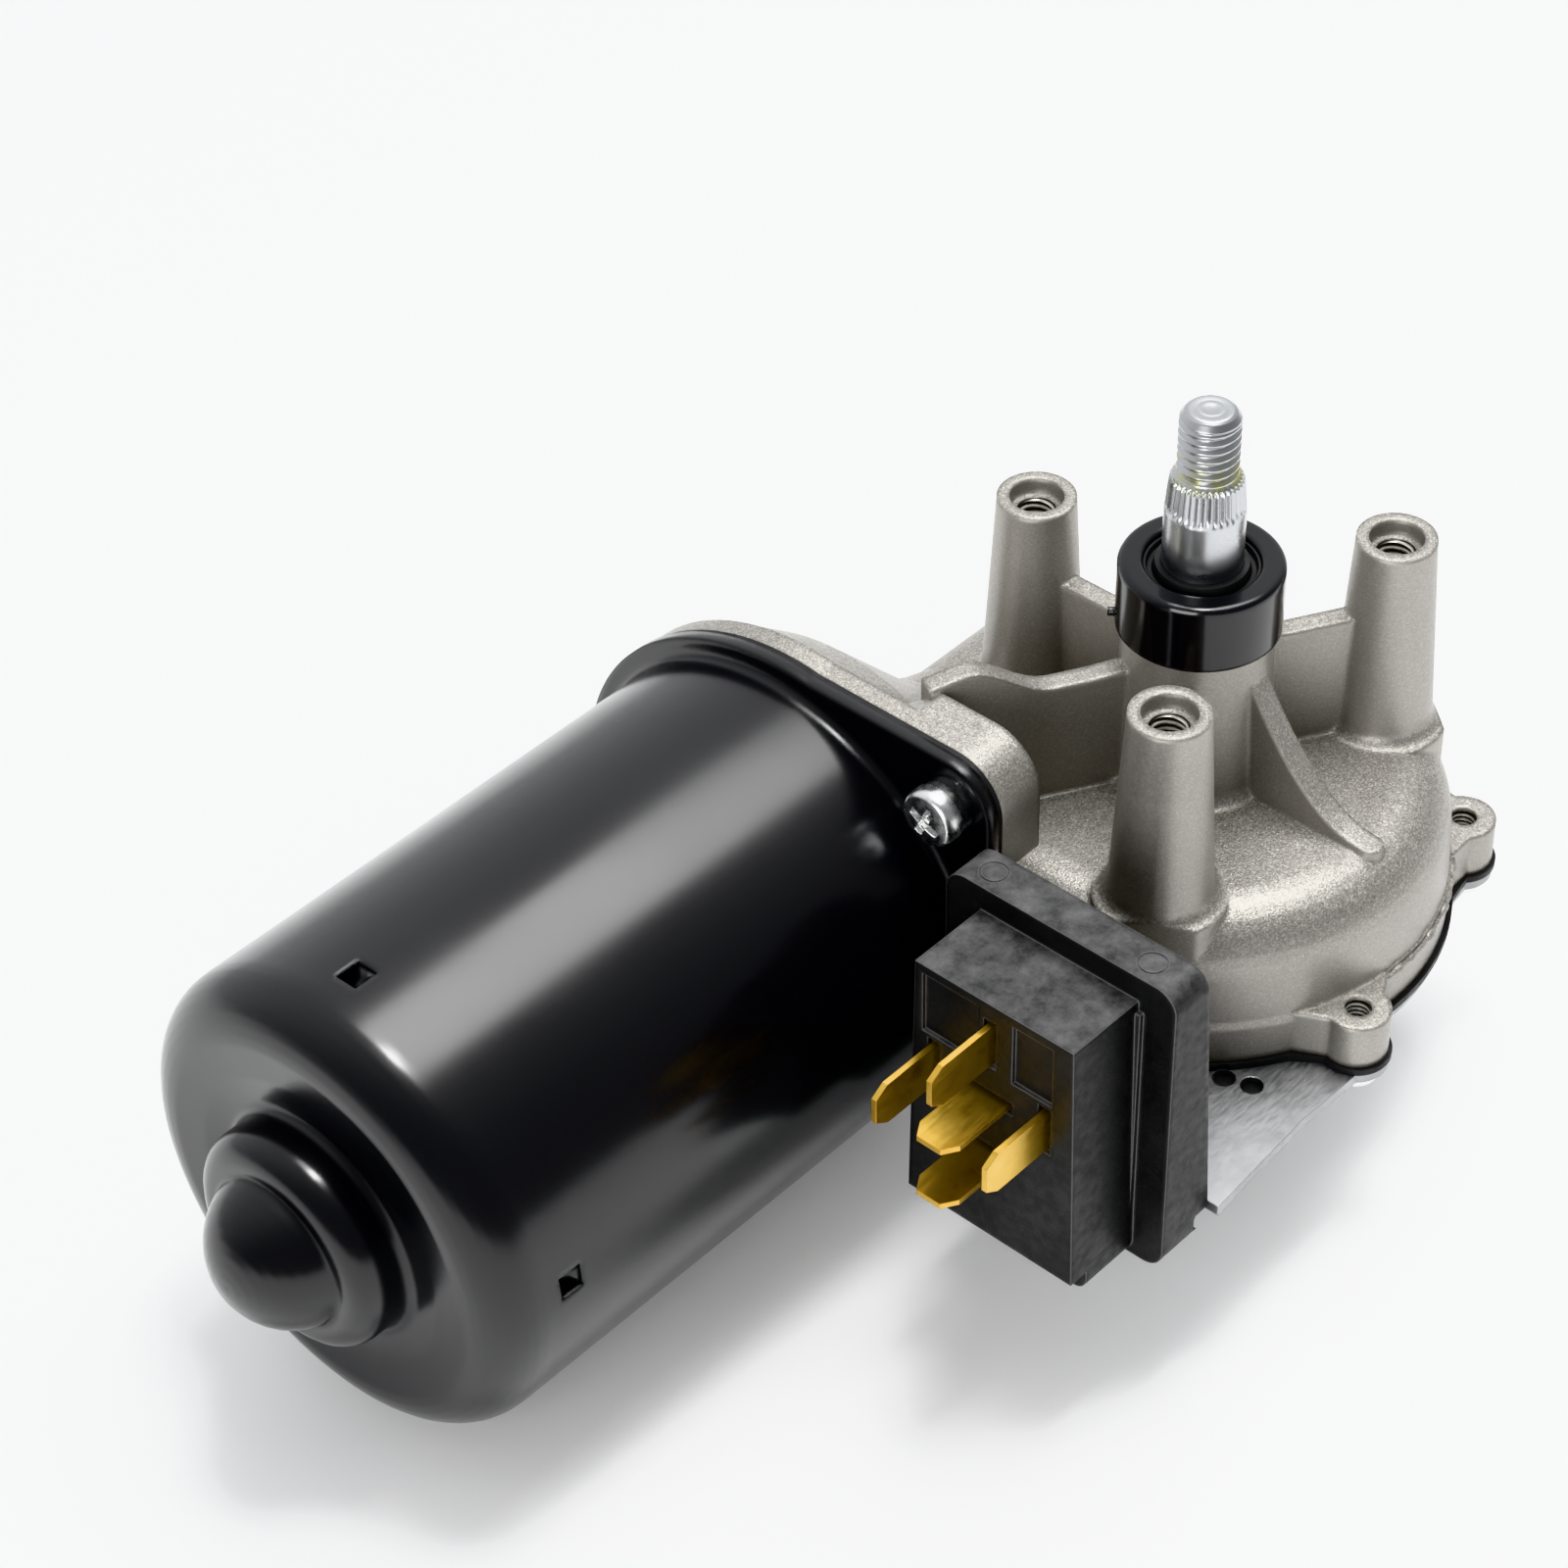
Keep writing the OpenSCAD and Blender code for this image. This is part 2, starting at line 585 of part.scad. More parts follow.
module worm_wheel() color(nylon) {
    lead_turn = worm_pitch * 360 / (2 * PI * worm_pitch_r) / (2 * PI * wheel_pitch_r) * wheel_w;
    web_t = 3;
    rib_top = min(motor_z + wheel_w / 2 - 0.7, hub_top_z - play);
    difference() {
        translate([0, 0, wheel_bottom_z]) rotate([0, 0, -lead_turn / 2])
            linear_extrude(height = wheel_w, twist = -lead_turn, slices = 4) wheel_outline();
        translate([0, 0, wheel_bottom_z - 1]) cylinder(h = wheel_w + 2, r = wheel_rim_inner_r);
    }
    difference() {
        union() {
            translate([0, 0, motor_z - web_t / 2]) cylinder(h = web_t, r = wheel_rim_inner_r + 1);
            translate([0, 0, hub_bottom_z]) cylinder(h = hub_top_z - hub_bottom_z, r = hub_r);
            for (i = [0:7]) rotate([0, 0, i * 45]) translate([hub_r - 1, -0.9, motor_z - 0.1])
                cube([wheel_rim_inner_r - hub_r + 2, 1.8, rib_top - motor_z + 0.1]);
        }
        translate([0, 0, hub_bottom_z - 1]) cylinder(h = hub_top_z - hub_bottom_z + 2, r = shaft_r);
    }
}

// Contact disc under the wheel: a ring with the gap that stops the wiper at its park position.
park_disc_t = 0.4;
park_disc_z = motor_z - 1.5 - park_disc_t;
park_disc_r = wheel_rim_inner_r - 3;
park_bore_r = hub_r + 2.5;
module park_disc() color(brass) translate([0, 0, park_disc_z]) difference() {
    tube(park_disc_r, park_bore_r, park_disc_t);
    rotate([0, 0, 200]) translate([park_bore_r + 3.5, -3, -1]) cube([3.2, 6, park_disc_t + 2]);
}

// Outline of gasket and cover: the rim with its ears, cut back beside the motor's flange.
module cover_outline(r, ear_size) {
    difference() {
        union() {
            circle(r = r);
            ear_outline(ear_size, r);
            translate([motor_face + 0.4, duct_y0 - corner_boss_r])
                square([-motor_face / 2, corner_boss_r - 1]);
            translate([motor_face + 0.4, duct_y0 - 1]) square([-motor_face / 2, duct_w - 1.2]);
        }
        // Clear of the motor's flange
        translate([neck_back - can_r, duct_y1 - 2.2]) square([can_r + play, 2 * can_r]);
    }
}

module screw_holes(r) {
    for (p = cover_screw_at) translate([p[0], p[1], cover_bottom_z - 1])
        cylinder(h = cover_t + cover_gasket_t + 2, r = r);
}

// Two small locating holes beside the rim
locating_holes = [for (q = [[3.8, -128.8], [1.96, -133.7]]) (rim_r + q[0]) * [cos(q[1]), sin(q[1])]];
locating_r = 1.5;
module locating_cuts() {
    for (p = locating_holes) translate([p[0], p[1], cover_bottom_z - 1])
        cylinder(h = cover_t + cover_gasket_t + 2, r = locating_r);
}

module cover_gasket() color(rubber) difference() {
    translate([0, 0, cover_top_z]) linear_extrude(cover_gasket_t) cover_outline(cover_r, ear_r + 0.5);
    translate([0, 0, cover_top_z - 1]) cylinder(h = cover_gasket_t + 2, r = cavity_r + 0.6);
    translate([motor_face + 1.4, duct_y0 + duct_wall, cover_top_z - 1])
        cube([-motor_face - 0.8 * cavity_r, duct_w - 2 * duct_wall - 1, cover_gasket_t + 2]);
    screw_holes(cover_screw_r + 0.2);
    locating_cuts();
}

module cover_plate() color(zinc) difference() {
    ear_x = ear_circle_r * cos(ear_angles[0]);
    ear_y = ear_circle_r * sin(ear_angles[0]);
    tab_x0 = plug_back + plug_lip + 0.1;
    union() {
        translate([0, 0, cover_bottom_z]) linear_extrude(cover_t) cover_outline(cover_r - 0.5, ear_r + 0.2);
        // Tab that reaches under the connector, with a slanted edge from the ear
        translate([0, 0, cover_bottom_z]) linear_extrude(cover_t)
            polygon([[ear_x - 1, ear_y - ear_r * 0.7], [ear_x - 14, plug_flange_y0 - 0.2],
                [tab_x0, plug_flange_y0 - 1.6], [tab_x0, duct_y1 - 2.6],
                [neck_back, duct_y1 - 2.6], [0, 0]]);
    }
    screw_holes(cover_screw_r + 0.2);
    locating_cuts();
    for (p = plug_screw_at) translate([p[0], p[1], cover_bottom_z - 1])
        cylinder(h = cover_t + 2, r = plug_screw_r + 0.1);
}

// Pan-head screw that points up, with a cross recess in its head.
module pan_screw(shank_r, len, head_r, head_h) {
    cylinder(h = len, r = shank_r);
    difference() {
        translate([0, 0, -head_h])
            rotate_extrude() polygon(concat([[0, 0]], arc([head_r - 1, 1], 1, 270, 360, 4),
                [[head_r, head_h], [0, head_h]]));
        for (a = [0, 90]) rotate([0, 0, a]) translate([-head_r * 0.55, -0.45, -head_h - 1])
            cube([head_r * 1.1, 0.9, 1 + head_h * 0.55]);
    }
}

module cover_screws() color(zinc) {
    for (p = cover_screw_at) translate([p[0], p[1], cover_bottom_z])
        pan_screw(cover_screw_r, cover_screw_len, cover_head_r, cover_head_h);
}

// Insulating board on the cover's inside, and the three fingers that rub on the park disc.
carrier_t = 1.2;
carrier_x = -park_disc_r - 6.4;
module contact_carrier() color([0.45, 0.28, 0.16])
    translate([carrier_x, -15, cover_top_z]) cube([-carrier_x - 8, 12, carrier_t]);

finger_tracks = [park_bore_r + 1.4, (park_bore_r + park_disc_r) / 2 + 0.1, park_disc_r - 1.4];
module park_contacts() color(brass) {
    top = park_disc_z - 0.25;
    bed = cover_top_z + carrier_t;
    strip = 0.4;
    foot_x = carrier_x + 1.4;
    for (i = [0:2]) {
        y = -5.6 - 3.6 * i;
        tip_x = -sqrt(pow(finger_tracks[i], 2) - y * y);
        translate([0, y + 0.9, 0]) rotate([90, 0, 0]) linear_extrude(1.8)
            polygon([[foot_x, bed], [foot_x, bed + strip], [tip_x - 6, bed + strip], [tip_x, top],
                [tip_x + 1.2, top - 0.8], [tip_x + 0.9, top - 1.2], [tip_x, top - 0.6], [tip_x - 5.8, bed]]);
    }
}

// Terminal block, its flange and the box behind it, moulded in one piece.
module connector_body() color(black_plastic) difference() {
    union() {
        // Block, a little wider at its foot
        translate([block_face, plug_mid_y, 0]) rotate([90, 0, 90]) linear_extrude(block_depth + 1)
            polygon([[-block_w / 2 - 0.9, block_z0], [block_w / 2 + 0.9, block_z0], [block_w / 2, block_z1],
                [-block_w / 2, block_z1]]);
        // Rounded key below the block's corner
        translate([block_face + 3, plug_mid_y - block_w / 2 - 0.9, block_z0]) rotate([90, 0, 90])
            linear_extrude(block_depth - 2) polygon(concat([[0, 1]], arc([2, -1.5], 2, 180, 270, 4),
                arc([2.4, -1.5], 2, 270, 360, 4), [[4.4, 1]]));
        // Narrow rim where the block's sides meet the flange
        translate([plug_face - 0.7, plug_mid_y - block_w / 2 - 0.8, block_z0])
            cube([1.2, block_w + 1.6, block_h - 1.5]);
        // Flange with rounded corners, thicker towards the cover
        intersection() {
            translate([0, plug_flange_y1, 0]) rotate([90, 0, 0]) linear_extrude(plug_flange_w)
                polygon([[plug_face, plug_flange_z1], [plug_back, plug_flange_z1],
                    [plug_back + plug_lip, cover_top_z], [plug_back + plug_lip, cover_bottom_z],
                    [plug_back + 0.6, plug_flange_z0], [plug_face, plug_flange_z0]]);
            translate([plug_face - 1, plug_flange_y1, plug_flange_z0]) rotate([90, 0, 90])
                linear_extrude(plug_flange_t + 6) flange_face();
        }
        // Box for the terminals' roots, which closes the housing's duct
        translate([plug_back - 1, rear_box_y0, cover_top_z])
            cube([rear_box_x1 - plug_back + 1, rear_box_y1 - rear_box_y0, rear_box_z1 - cover_top_z]);
        translate([plug_back - 1, rear_box_y0, rear_box_z1 - 1])
            cube([3.4, rear_box_y1 - rear_box_y0, block_z1 - rear_box_z1]);
        translate([rear_box_x1 - 1, duct_y0 + duct_wall + play, cover_top_z + 3])
            cube([4, duct_w - 2 * duct_wall - 2 * play, duct_z1 - duct_wall - play - cover_top_z - 3]);
    }
    // Hollow in the box, and its mouth towards the duct
    translate([plug_back + 0.8, rear_box_y0 + 1.5, cover_top_z + 8])
        cube([rear_box_x1 - plug_back - 2.3, rear_box_w - 3, rear_box_z1 - cover_top_z - 9.5]);
    translate([plug_back + 2.8, duct_y0 + duct_wall + 1.6, cover_top_z + 5])
        cube([12, duct_w - 2 * duct_wall - 3.2, duct_z1 - duct_wall - cover_top_z - 6]);
    for (s = blade_seats) blade_at(s) blade_pocket();
    // Shallow recesses in the block's face on both sides of the upper blade
    for (r = face_recesses) translate([block_face - 1, pin_y + r[0], block_z1 - 10.7])
        cube([1 + recess_sink, r[1], 9.3]);
    // Nick in the lower back corner of the flange's side
    translate([plug_back + 0.2, plug_flange_y0 - 1, plug_flange_z0 + 1.4]) cube([plug_lip, 2.1, 3.2]);
    // Marks of the mould's ejector pins on the flange's top
    for (y = [plug_flange_y0 + 6, plug_flange_y1 - 5])
        translate([plug_face + plug_flange_t / 2, y, plug_flange_z1 - 0.15]) tube(1.9, 1.6, 1);
    for (p = plug_screw_at) translate([p[0], p[1], cover_top_z - 1]) cylinder(h = 8.5, r = plug_screw_r);
}

// Side place and width of each shallow recess in the block's face.
face_recesses = [[-9.6, 6.1], [2, 8.5]];
recess_sink = 0.6;

// Outline of the connector's flange with rounded corners, from its bottom corner on the can's side.
module flange_face() {
    r = 3;
    w = plug_flange_w;
    h = plug_flange_h;
    translate([-w + r, 0]) square([w - 2 * r, h]);
    translate([-w, r]) square([w, h - 2 * r]);
    for (x = [-w + r, -r]) for (y = [r, h - r]) translate([x, y]) circle(r = r);
}

// Blade seats: sideways and upward place on the block's face, and whether the blade lies flat.
blade_seats = [[1, 0, 0], [0, 1, 0], [0, 0, 1], [-1, 0, 0], [0, -1.06, 1]];
module blade_at(s) {
    translate([block_face, pin_y + s[0] * blade_pitch, pin_z + s[1] * blade_pitch])
        rotate([s[2] * 90, 0, 0]) children();
}

blade_root = block_depth + plug_flange_t + 2;
module blade_pocket() {
    translate([-1, -blade_t / 2 - 0.6, -blade_w / 2 - 0.6]) cube([1.8, blade_t + 1.2, blade_w + 1.2]);
    translate([-1, -blade_t / 2, -blade_w / 2]) cube([blade_root + 1, blade_t, blade_w]);
}

// Blade terminal with a chamfered tip and a narrow tail behind the connector's flange.
module blade(s) {
    chamfer = 1.3;
    half = blade_w / 2;
    blade_at(s) translate([0, blade_t / 2, 0]) rotate([90, 0, 0]) linear_extrude(blade_t)
        polygon([[-blade_len, -half + chamfer], [-blade_len + 1.6 * chamfer, -half], [blade_root, -half],
            [blade_root, half], [-blade_len + 1.6 * chamfer, half], [-blade_len, half - chamfer]]);
}
module terminal_left() color(brass) blade(blade_seats[0]);
module terminal_top() color(brass) blade(blade_seats[1]);
module terminal_centre() color(brass) blade(blade_seats[2]);
module terminal_right() color(brass) blade(blade_seats[3]);
module terminal_bottom() color(brass) blade(blade_seats[4]);

module connector_screws() color(zinc) {
    for (p = plug_screw_at) translate([p[0], p[1], cover_bottom_z])
        pan_screw(plug_screw_r, plug_screw_len, plug_head_r, plug_head_h);
}

// Deep-drawn can: a flange, a straight tube, a round shoulder, and a stepped nose that ends in a dome.
function can_profile(d) = concat(
    [[can_r - d, flange_front]],
    arc([can_r - can_round, can_end + can_round], can_round - d, 0, -90, 8),
    [[nose_r + 5, can_end + 0.4 + d]],
    arc([nose_r + 1.2 - d, can_end - 0.2 + d], 1.2, 90, 180, 3),
    arc([nose_r - 3.5, nose_front + 3.5], 3.5 - d, 0, -90, 6),
    arc([0, dome_centre], dome_r - d, -asin((dome_centre - nose_front - d) / (dome_r - d)), -90, 9));

module motor_can() color(black_paint) difference() {
    union() {
        along_motor(0) rotate_extrude()
            polygon(concat([[0, flange_back - 4], [can_bore_r, flange_back - 4], [can_bore_r, flange_front]],
                [[can_r + 1.2, flange_front]], arc([can_r + 1.2, flange_front - 1.2], 1.2, 90, 180, 3),
                [for (i = [1:len(can_profile(0)) - 1]) can_profile(0)[i]]));
        along_motor(flange_front) linear_extrude(can_wall) flange_outline(flange_half);
    }
    along_motor(0) rotate_extrude()
        polygon(concat([[0, flange_back + 1], [can_bore_r, flange_back + 1]], can_profile(can_wall)));
    for (s = [-1, 1]) along_motor(flange_front) translate([s * flange_ear_at, s * flange_ear_at, -1])
        cylinder(h = can_wall + 2, r = can_screw_shank_r + 0.3);
    // Windows lanced through the wall beside the magnets' ends
    for (a = [84, 178, 264, 358]) along_motor(can_end + can_round + 2.6) rotate([0, 0, a])
        translate([can_r - can_wall - 1, -1.7, 0]) cube([can_wall + 2, 3.4, 3.6]);
}

module can_screws() color(zinc) {
    for (s = [-1, 1]) along_motor(flange_front - spring_washer_t)
        translate([s * flange_ear_at, s * flange_ear_at, 0])
            pan_screw(can_screw_shank_r - 0.1, can_screw_len, can_screw_head_r, can_screw_head_h);
}

module can_spring_washers() color(zinc) {
    for (s = [-1, 1]) along_motor(flange_front - spring_washer_t)
        translate([s * flange_ear_at, s * flange_ear_at, 0]) difference() {
            tube(can_screw_head_r - 0.3, can_screw_shank_r + 0.1, spring_washer_t);
            rotate([0, 0, 60]) translate([0, -0.4, -1]) cube([20, 0.8, spring_washer_t + 2]);
        }
}

module flange_gasket() color(rubber) along_motor(flange_back) difference() {
    linear_extrude(flange_gasket_t) flange_outline(flange_half - 0.3);
    translate([0, 0, -1]) cylinder(h = flange_gasket_t + 2, r = can_bore_r);
    for (s = [-1, 1]) translate([s * flange_ear_at, s * flange_ear_at, -1])
        cylinder(h = flange_gasket_t + 2, r = can_screw_shank_r + 0.3);
}

// Two ferrite magnets, held apart and against the can by two spring clips.
magnet_front = core_front + 4;
magnet_back = core_back - 4;
magnet_half_angle = 66;
reach = 2 * can_r;
module field_magnets() color([0.20, 0.20, 0.21]) {
    for (a = [0, 180]) along_motor(magnet_back) rotate([0, 0, a]) difference() {
        tube(can_bore_r, magnet_bore_r, magnet_front - magnet_back);
        for (s = [-1, 1]) rotate([0, 0, s * magnet_half_angle])
            translate([-reach, s > 0 ? 0 : -2 * reach, -1])
                cube([2 * reach, 2 * reach, magnet_front - magnet_back + 2]);
    }
}

module magnet_clips() color(steel) {
    clip_half = 90 - magnet_half_angle - 3;
    for (a = [90, 270]) along_motor(magnet_back + 4) rotate([0, 0, a]) difference() {
        tube(can_bore_r, can_bore_r - 1, magnet_front - magnet_back - 8);
        for (s = [-1, 1]) rotate([0, 0, s * clip_half]) translate([-reach, s > 0 ? 0 : -2 * reach, -1])
            cube([2 * reach, 2 * reach, magnet_front - magnet_back]);
    }
}

module rear_bush() color(bronze) difference() {
    union() {
        motor_rod(rear_bush_back, rear_bush_front, rear_bush_r);
        // Collar that seats in the nose
        motor_rod(nose_front + can_wall, nose_front + can_wall + 3, nose_r - can_wall - 2.6);
    }
    motor_rod(rear_bush_back - 1, rear_bush_front + 1, rear_journal_r + run_gap);
}

module rear_bush_clip() color(steel) difference() {
    motor_rod(nose_front + can_wall + 3, nose_front + can_wall + 3.6, nose_r - can_wall);
    motor_rod(nose_front, rear_bush_front, rear_bush_r);
}

// Board that carries the brush gear in the mouth of the can.
brush_plate_t = 2.4;
brush_plate_front = motor_face + 3;
brush_plate_back = brush_plate_front - brush_plate_t;
brush_angles = [0, 120, 180];
brush_w = 5;
brush_h = 7;
brush_len = 9;
box_wall = 0.6;
brush_mid = brush_plate_back - box_wall - brush_w / 2;
module brush_plate() color([0.42, 0.26, 0.14]) difference() {
    motor_rod(brush_plate_back, brush_plate_front, can_bore_r - 0.3);
    motor_rod(brush_plate_back - 1, brush_plate_front + 1, commutator_r + 1.5);
}

box_len = can_bore_r - commutator_r - 4.5;
module brush_boxes() color(brass) for (a = brush_angles) along_motor(brush_mid) rotate([0, 0, a])
    translate([commutator_r + 2.2, 0, 0]) difference() {
        translate([0, -brush_h / 2 - box_wall, -brush_w / 2 - box_wall])
            cube([box_len, brush_h + 2 * box_wall, brush_w + 2 * box_wall]);
        translate([-1, -brush_h / 2, -brush_w / 2]) cube([box_len + 0.2, brush_h, brush_w]);
    }

module carbon_brushes() color([0.16, 0.16, 0.17]) for (a = brush_angles) along_motor(brush_mid)
    rotate([0, 0, a]) difference() {
        translate([commutator_r - 1, -brush_h / 2 + 0.05, -brush_w / 2 + 0.05])
            cube([brush_len + 1, brush_h - 0.1, brush_w - 0.1]);
        translate([0, 0, -brush_w]) cylinder(h = 2 * brush_w, r = commutator_r + 0.15);
    }

// A coil spring made of straight-sided rings behind each brush.
spring_len = box_len - brush_len + 1.4;
spring_turn = (spring_len - 1) / 4;
module brush_springs() color(steel) for (a = brush_angles) along_motor(brush_mid) rotate([0, 0, a])
    translate([commutator_r + brush_len, 0, 0]) rotate([0, 90, 0]) difference() {
        union() {
            cylinder(h = spring_len, r = 1.6);
            for (i = [0:4]) translate([0, 0, 0.2 + i * spring_turn]) cylinder(h = 0.7, r = 2.1);
        }
        translate([0, 0, -1]) cylinder(h = spring_len + 2, r = 1.3);
    }

module suppression_chokes() color(copper) for (a = [60, 240]) along_motor(brush_plate_back - 3.2)
    rotate([0, 0, a]) translate([commutator_r + 9, -6, 0]) rotate([-90, 0, 0]) difference() {
        union() {
            cylinder(h = 12, r = 2.8);
            for (i = [0:5]) translate([0, 0, 0.6 + i * 2]) cylinder(h = 1.2, r = 3.2);
        }
        translate([0, 0, -1]) cylinder(h = 14, r = 1.2);
    }

// Insulated leads from the brush plate through the housing to two terminals.
lead_r = 0.8;
module lead(points) {
    last = len(points) - 2;
    for (i = [0:last]) {
        v = points[i + 1] - points[i];
        back = i == 0 ? 0 : lead_r / 2;
        ahead = i == last ? 0 : lead_r / 2;
        translate(points[i]) rotate([0, acos(v[2] / norm(v)), atan2(v[1], v[0])]) translate([0, 0, -back])
            cylinder(h = norm(v) + back + ahead, r = lead_r, $fn = 12);
    }
}
module lead_wires() color([0.7, 0.1, 0.1]) for (i = [-1, 1]) {
    x = motor_face + 4;
    y = duct_y1 - 8;
    z = motor_z + 1.3 * i;
    bend_x = plug_back + 5.5;
    end_y = pin_y + (i > 0 ? blade_pitch : 0);
    end_z = pin_z - (i > 0 ? 1.4 : 1.06 * blade_pitch);
    lead([[brush_plate_front, motor_y - bowl_r + 6, z], [x, motor_y - bowl_r + 6, z], [x, y, z],
        [bend_x, y, z], [bend_x, end_y, end_z], [block_face + blade_root, end_y, end_z]]);
}

module front_bush() color(bronze) difference() {
    motor_rod(front_bush_back, front_bush_back + front_bush_len, front_bush_r);
    motor_rod(front_bush_back - 1, front_bush_back + front_bush_len + 1, rotor_r + run_gap);
}

module tunnel_bush() color(bronze) difference() {
    motor_rod(tunnel_bush_front, tunnel_bush_front + tunnel_bush_len, tunnel_bush_r);
    motor_rod(tunnel_bush_front - 1, tunnel_bush_front + tunnel_bush_len + 1, tunnel_journal_r + run_gap);
}

thrust_face = tunnel_bush_front + tunnel_bush_len - 0.6;
module thrust_ball() color(steel) along_motor(thrust_face + 0.05) translate([0, 0, thrust_ball_r])
    sphere(r = thrust_ball_r);

module thrust_screw() color(zinc) difference() {
    motor_rod(thrust_face + 2 * thrust_ball_r - 0.6, tunnel_end + 1.6, 3.4);
    motor_rod(thrust_face - 1, thrust_face + 2 * thrust_ball_r + 0.1, 1.8);
    translate([tunnel_end + 0.6, motor_y - 5, motor_z - 0.5]) cube([2, 10, 1]);
}

// Worm thread: a trapezoid swept along a right-hand helix, with its ridge facing the wheel at X = 0.
function thread_ring(i, steps) = let (
    a = 180 + 360 * i / steps,
    x = worm_pitch * (i / steps),
    half_root = worm_pitch / 4 + gear_module * 1.1 * tan(pressure_angle) - flank_gap / 2,
    half_tip = worm_pitch / 4 - gear_module * 0.85 * tan(pressure_angle) - flank_gap / 2,
    inner = worm_root_r - 0.4)
    [for (q = [[inner, -half_root], [inner, half_root], [worm_tip_r, half_tip], [worm_tip_r, -half_tip]])
        [q[0] * cos(a), q[0] * sin(a), x + q[1]]];
module worm_thread() {
    steps = 24;
    turns = floor(worm_len / worm_pitch / 2);
    n = 2 * turns * steps;
    rings = [for (i = [0:n]) thread_ring(i - n / 2, steps)];
    points = [for (r = rings) for (q = r) q];
    sides = [for (i = [0:n - 1]) for (k = [0:3]) let (a = 4 * i + k, b = 4 * i + (k + 1) % 4)
        [a, b, b + 4, a + 4]];
    last = [4 * n + 3, 4 * n + 2, 4 * n + 1, 4 * n];
    polyhedron(points = points, faces = concat([[0, 1, 2, 3]], sides, [last]), convexity = 10);
}

module armature_shaft() color(steel) {
    motor_rod(rear_bush_back - 1.5, core_back - coil_len - 2, rear_journal_r);
    motor_rod(core_back - coil_len - 2, -worm_len / 2 - 2, rotor_r);
    motor_rod(-worm_len / 2 - 2, worm_len / 2 + 1, worm_root_r);
    motor_rod(worm_len / 2 + 1, thrust_face, tunnel_journal_r);
    translate([0, motor_y, motor_z]) rotate([0, 90, 0]) rotate([0, 0, 90]) worm_thread();
}

slot_r = 2.6;
slot_at = core_r - 5.4;
module armature_core() color([0.45, 0.46, 0.48]) along_motor(core_back) difference() {
    cylinder(h = core_len, r = core_r);
    translate([0, 0, -1]) cylinder(h = core_len + 2, r = rotor_r);
    for (i = [0:slot_count - 1]) rotate([0, 0, 360 * i / slot_count]) {
        translate([slot_at, 0, -1]) cylinder(h = core_len + 2, r = slot_r);
        translate([slot_at, -0.9, -1]) cube([8, 1.8, core_len + 2]);
    }
}

// Coils: bars through the slots and a rounded head of wire at each end.
module armature_windings() color(copper) along_motor(0) {
    head_r = slot_at + slot_r + 0.6;
    head_bore = rotor_r + 2.5;
    for (i = [0:slot_count - 1]) rotate([0, 0, 360 * i / slot_count])
        translate([slot_at, 0, core_back - 1]) cylinder(h = core_len + 2, r = slot_r - 0.3, $fn = 24);
    for (m = [0, 1]) translate([0, 0, m == 0 ? core_front : core_back]) mirror([0, 0, m])
        difference() {
            translate([0, 0, 0.3]) rotate_extrude()
                polygon(concat([[head_bore, 0], [head_r, 0]], arc([head_r - 4, coil_len - 4.3], 4, 0, 90, 5),
                    arc([head_bore + 4, coil_len - 4.3], 4, 90, 180, 5)));
            for (i = [0:slot_count - 1]) rotate([0, 0, 360 * (i + 0.5) / slot_count])
                translate([head_r + 0.4, 0, -1]) cylinder(h = coil_len + 2, r = 1.5, $fn = 24);
        }
}

module commutator() color(copper) along_motor(commutator_back) difference() {
    cylinder(h = commutator_len, r = commutator_r);
    translate([0, 0, -1]) cylinder(h = commutator_len + 2, r = rotor_r);
    for (i = [0:slot_count - 1]) rotate([0, 0, 360 * (i + 0.5) / slot_count])
        translate([commutator_r - 1.2, -0.3, -1]) cube([3, 0.6, commutator_len + 2]);
}

gear_housing();
shaft_bushes();
shaft_circlip();
shaft_washers();
shaft_seal();
seal_cap();
output_shaft();
worm_wheel();
park_disc();
cover_gasket();
cover_plate();
cover_screws();
contact_carrier();
park_contacts();
connector_body();
terminal_left();
terminal_top();
terminal_centre();
terminal_right();
terminal_bottom();
connector_screws();
motor_can();
can_screws();
can_spring_washers();
flange_gasket();
field_magnets();
magnet_clips();
rear_bush();
rear_bush_clip();
brush_plate();
brush_boxes();
carbon_brushes();
brush_springs();
suppression_chokes();
lead_wires();
front_bush();
tunnel_bush();
thrust_screw();
thrust_ball();
armature_shaft();
armature_core();
armature_windings();
commutator();
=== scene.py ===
# %% [markdown]
# # Dressing a wiper motor
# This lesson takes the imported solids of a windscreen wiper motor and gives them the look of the
# real one: a gloss black drawn can, a shot-blasted light-metal casting, bright zinc, brass blades
# and moulded plastic. The solids already have the right sizes and places. Here we add the
# finishes, and the few surfaces that are finer than the solids, such as threads, serrations and
# the crossed recess of a screw.

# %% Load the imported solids
import json

import bpy
import numpy as np
from mathutils import Matrix, Vector

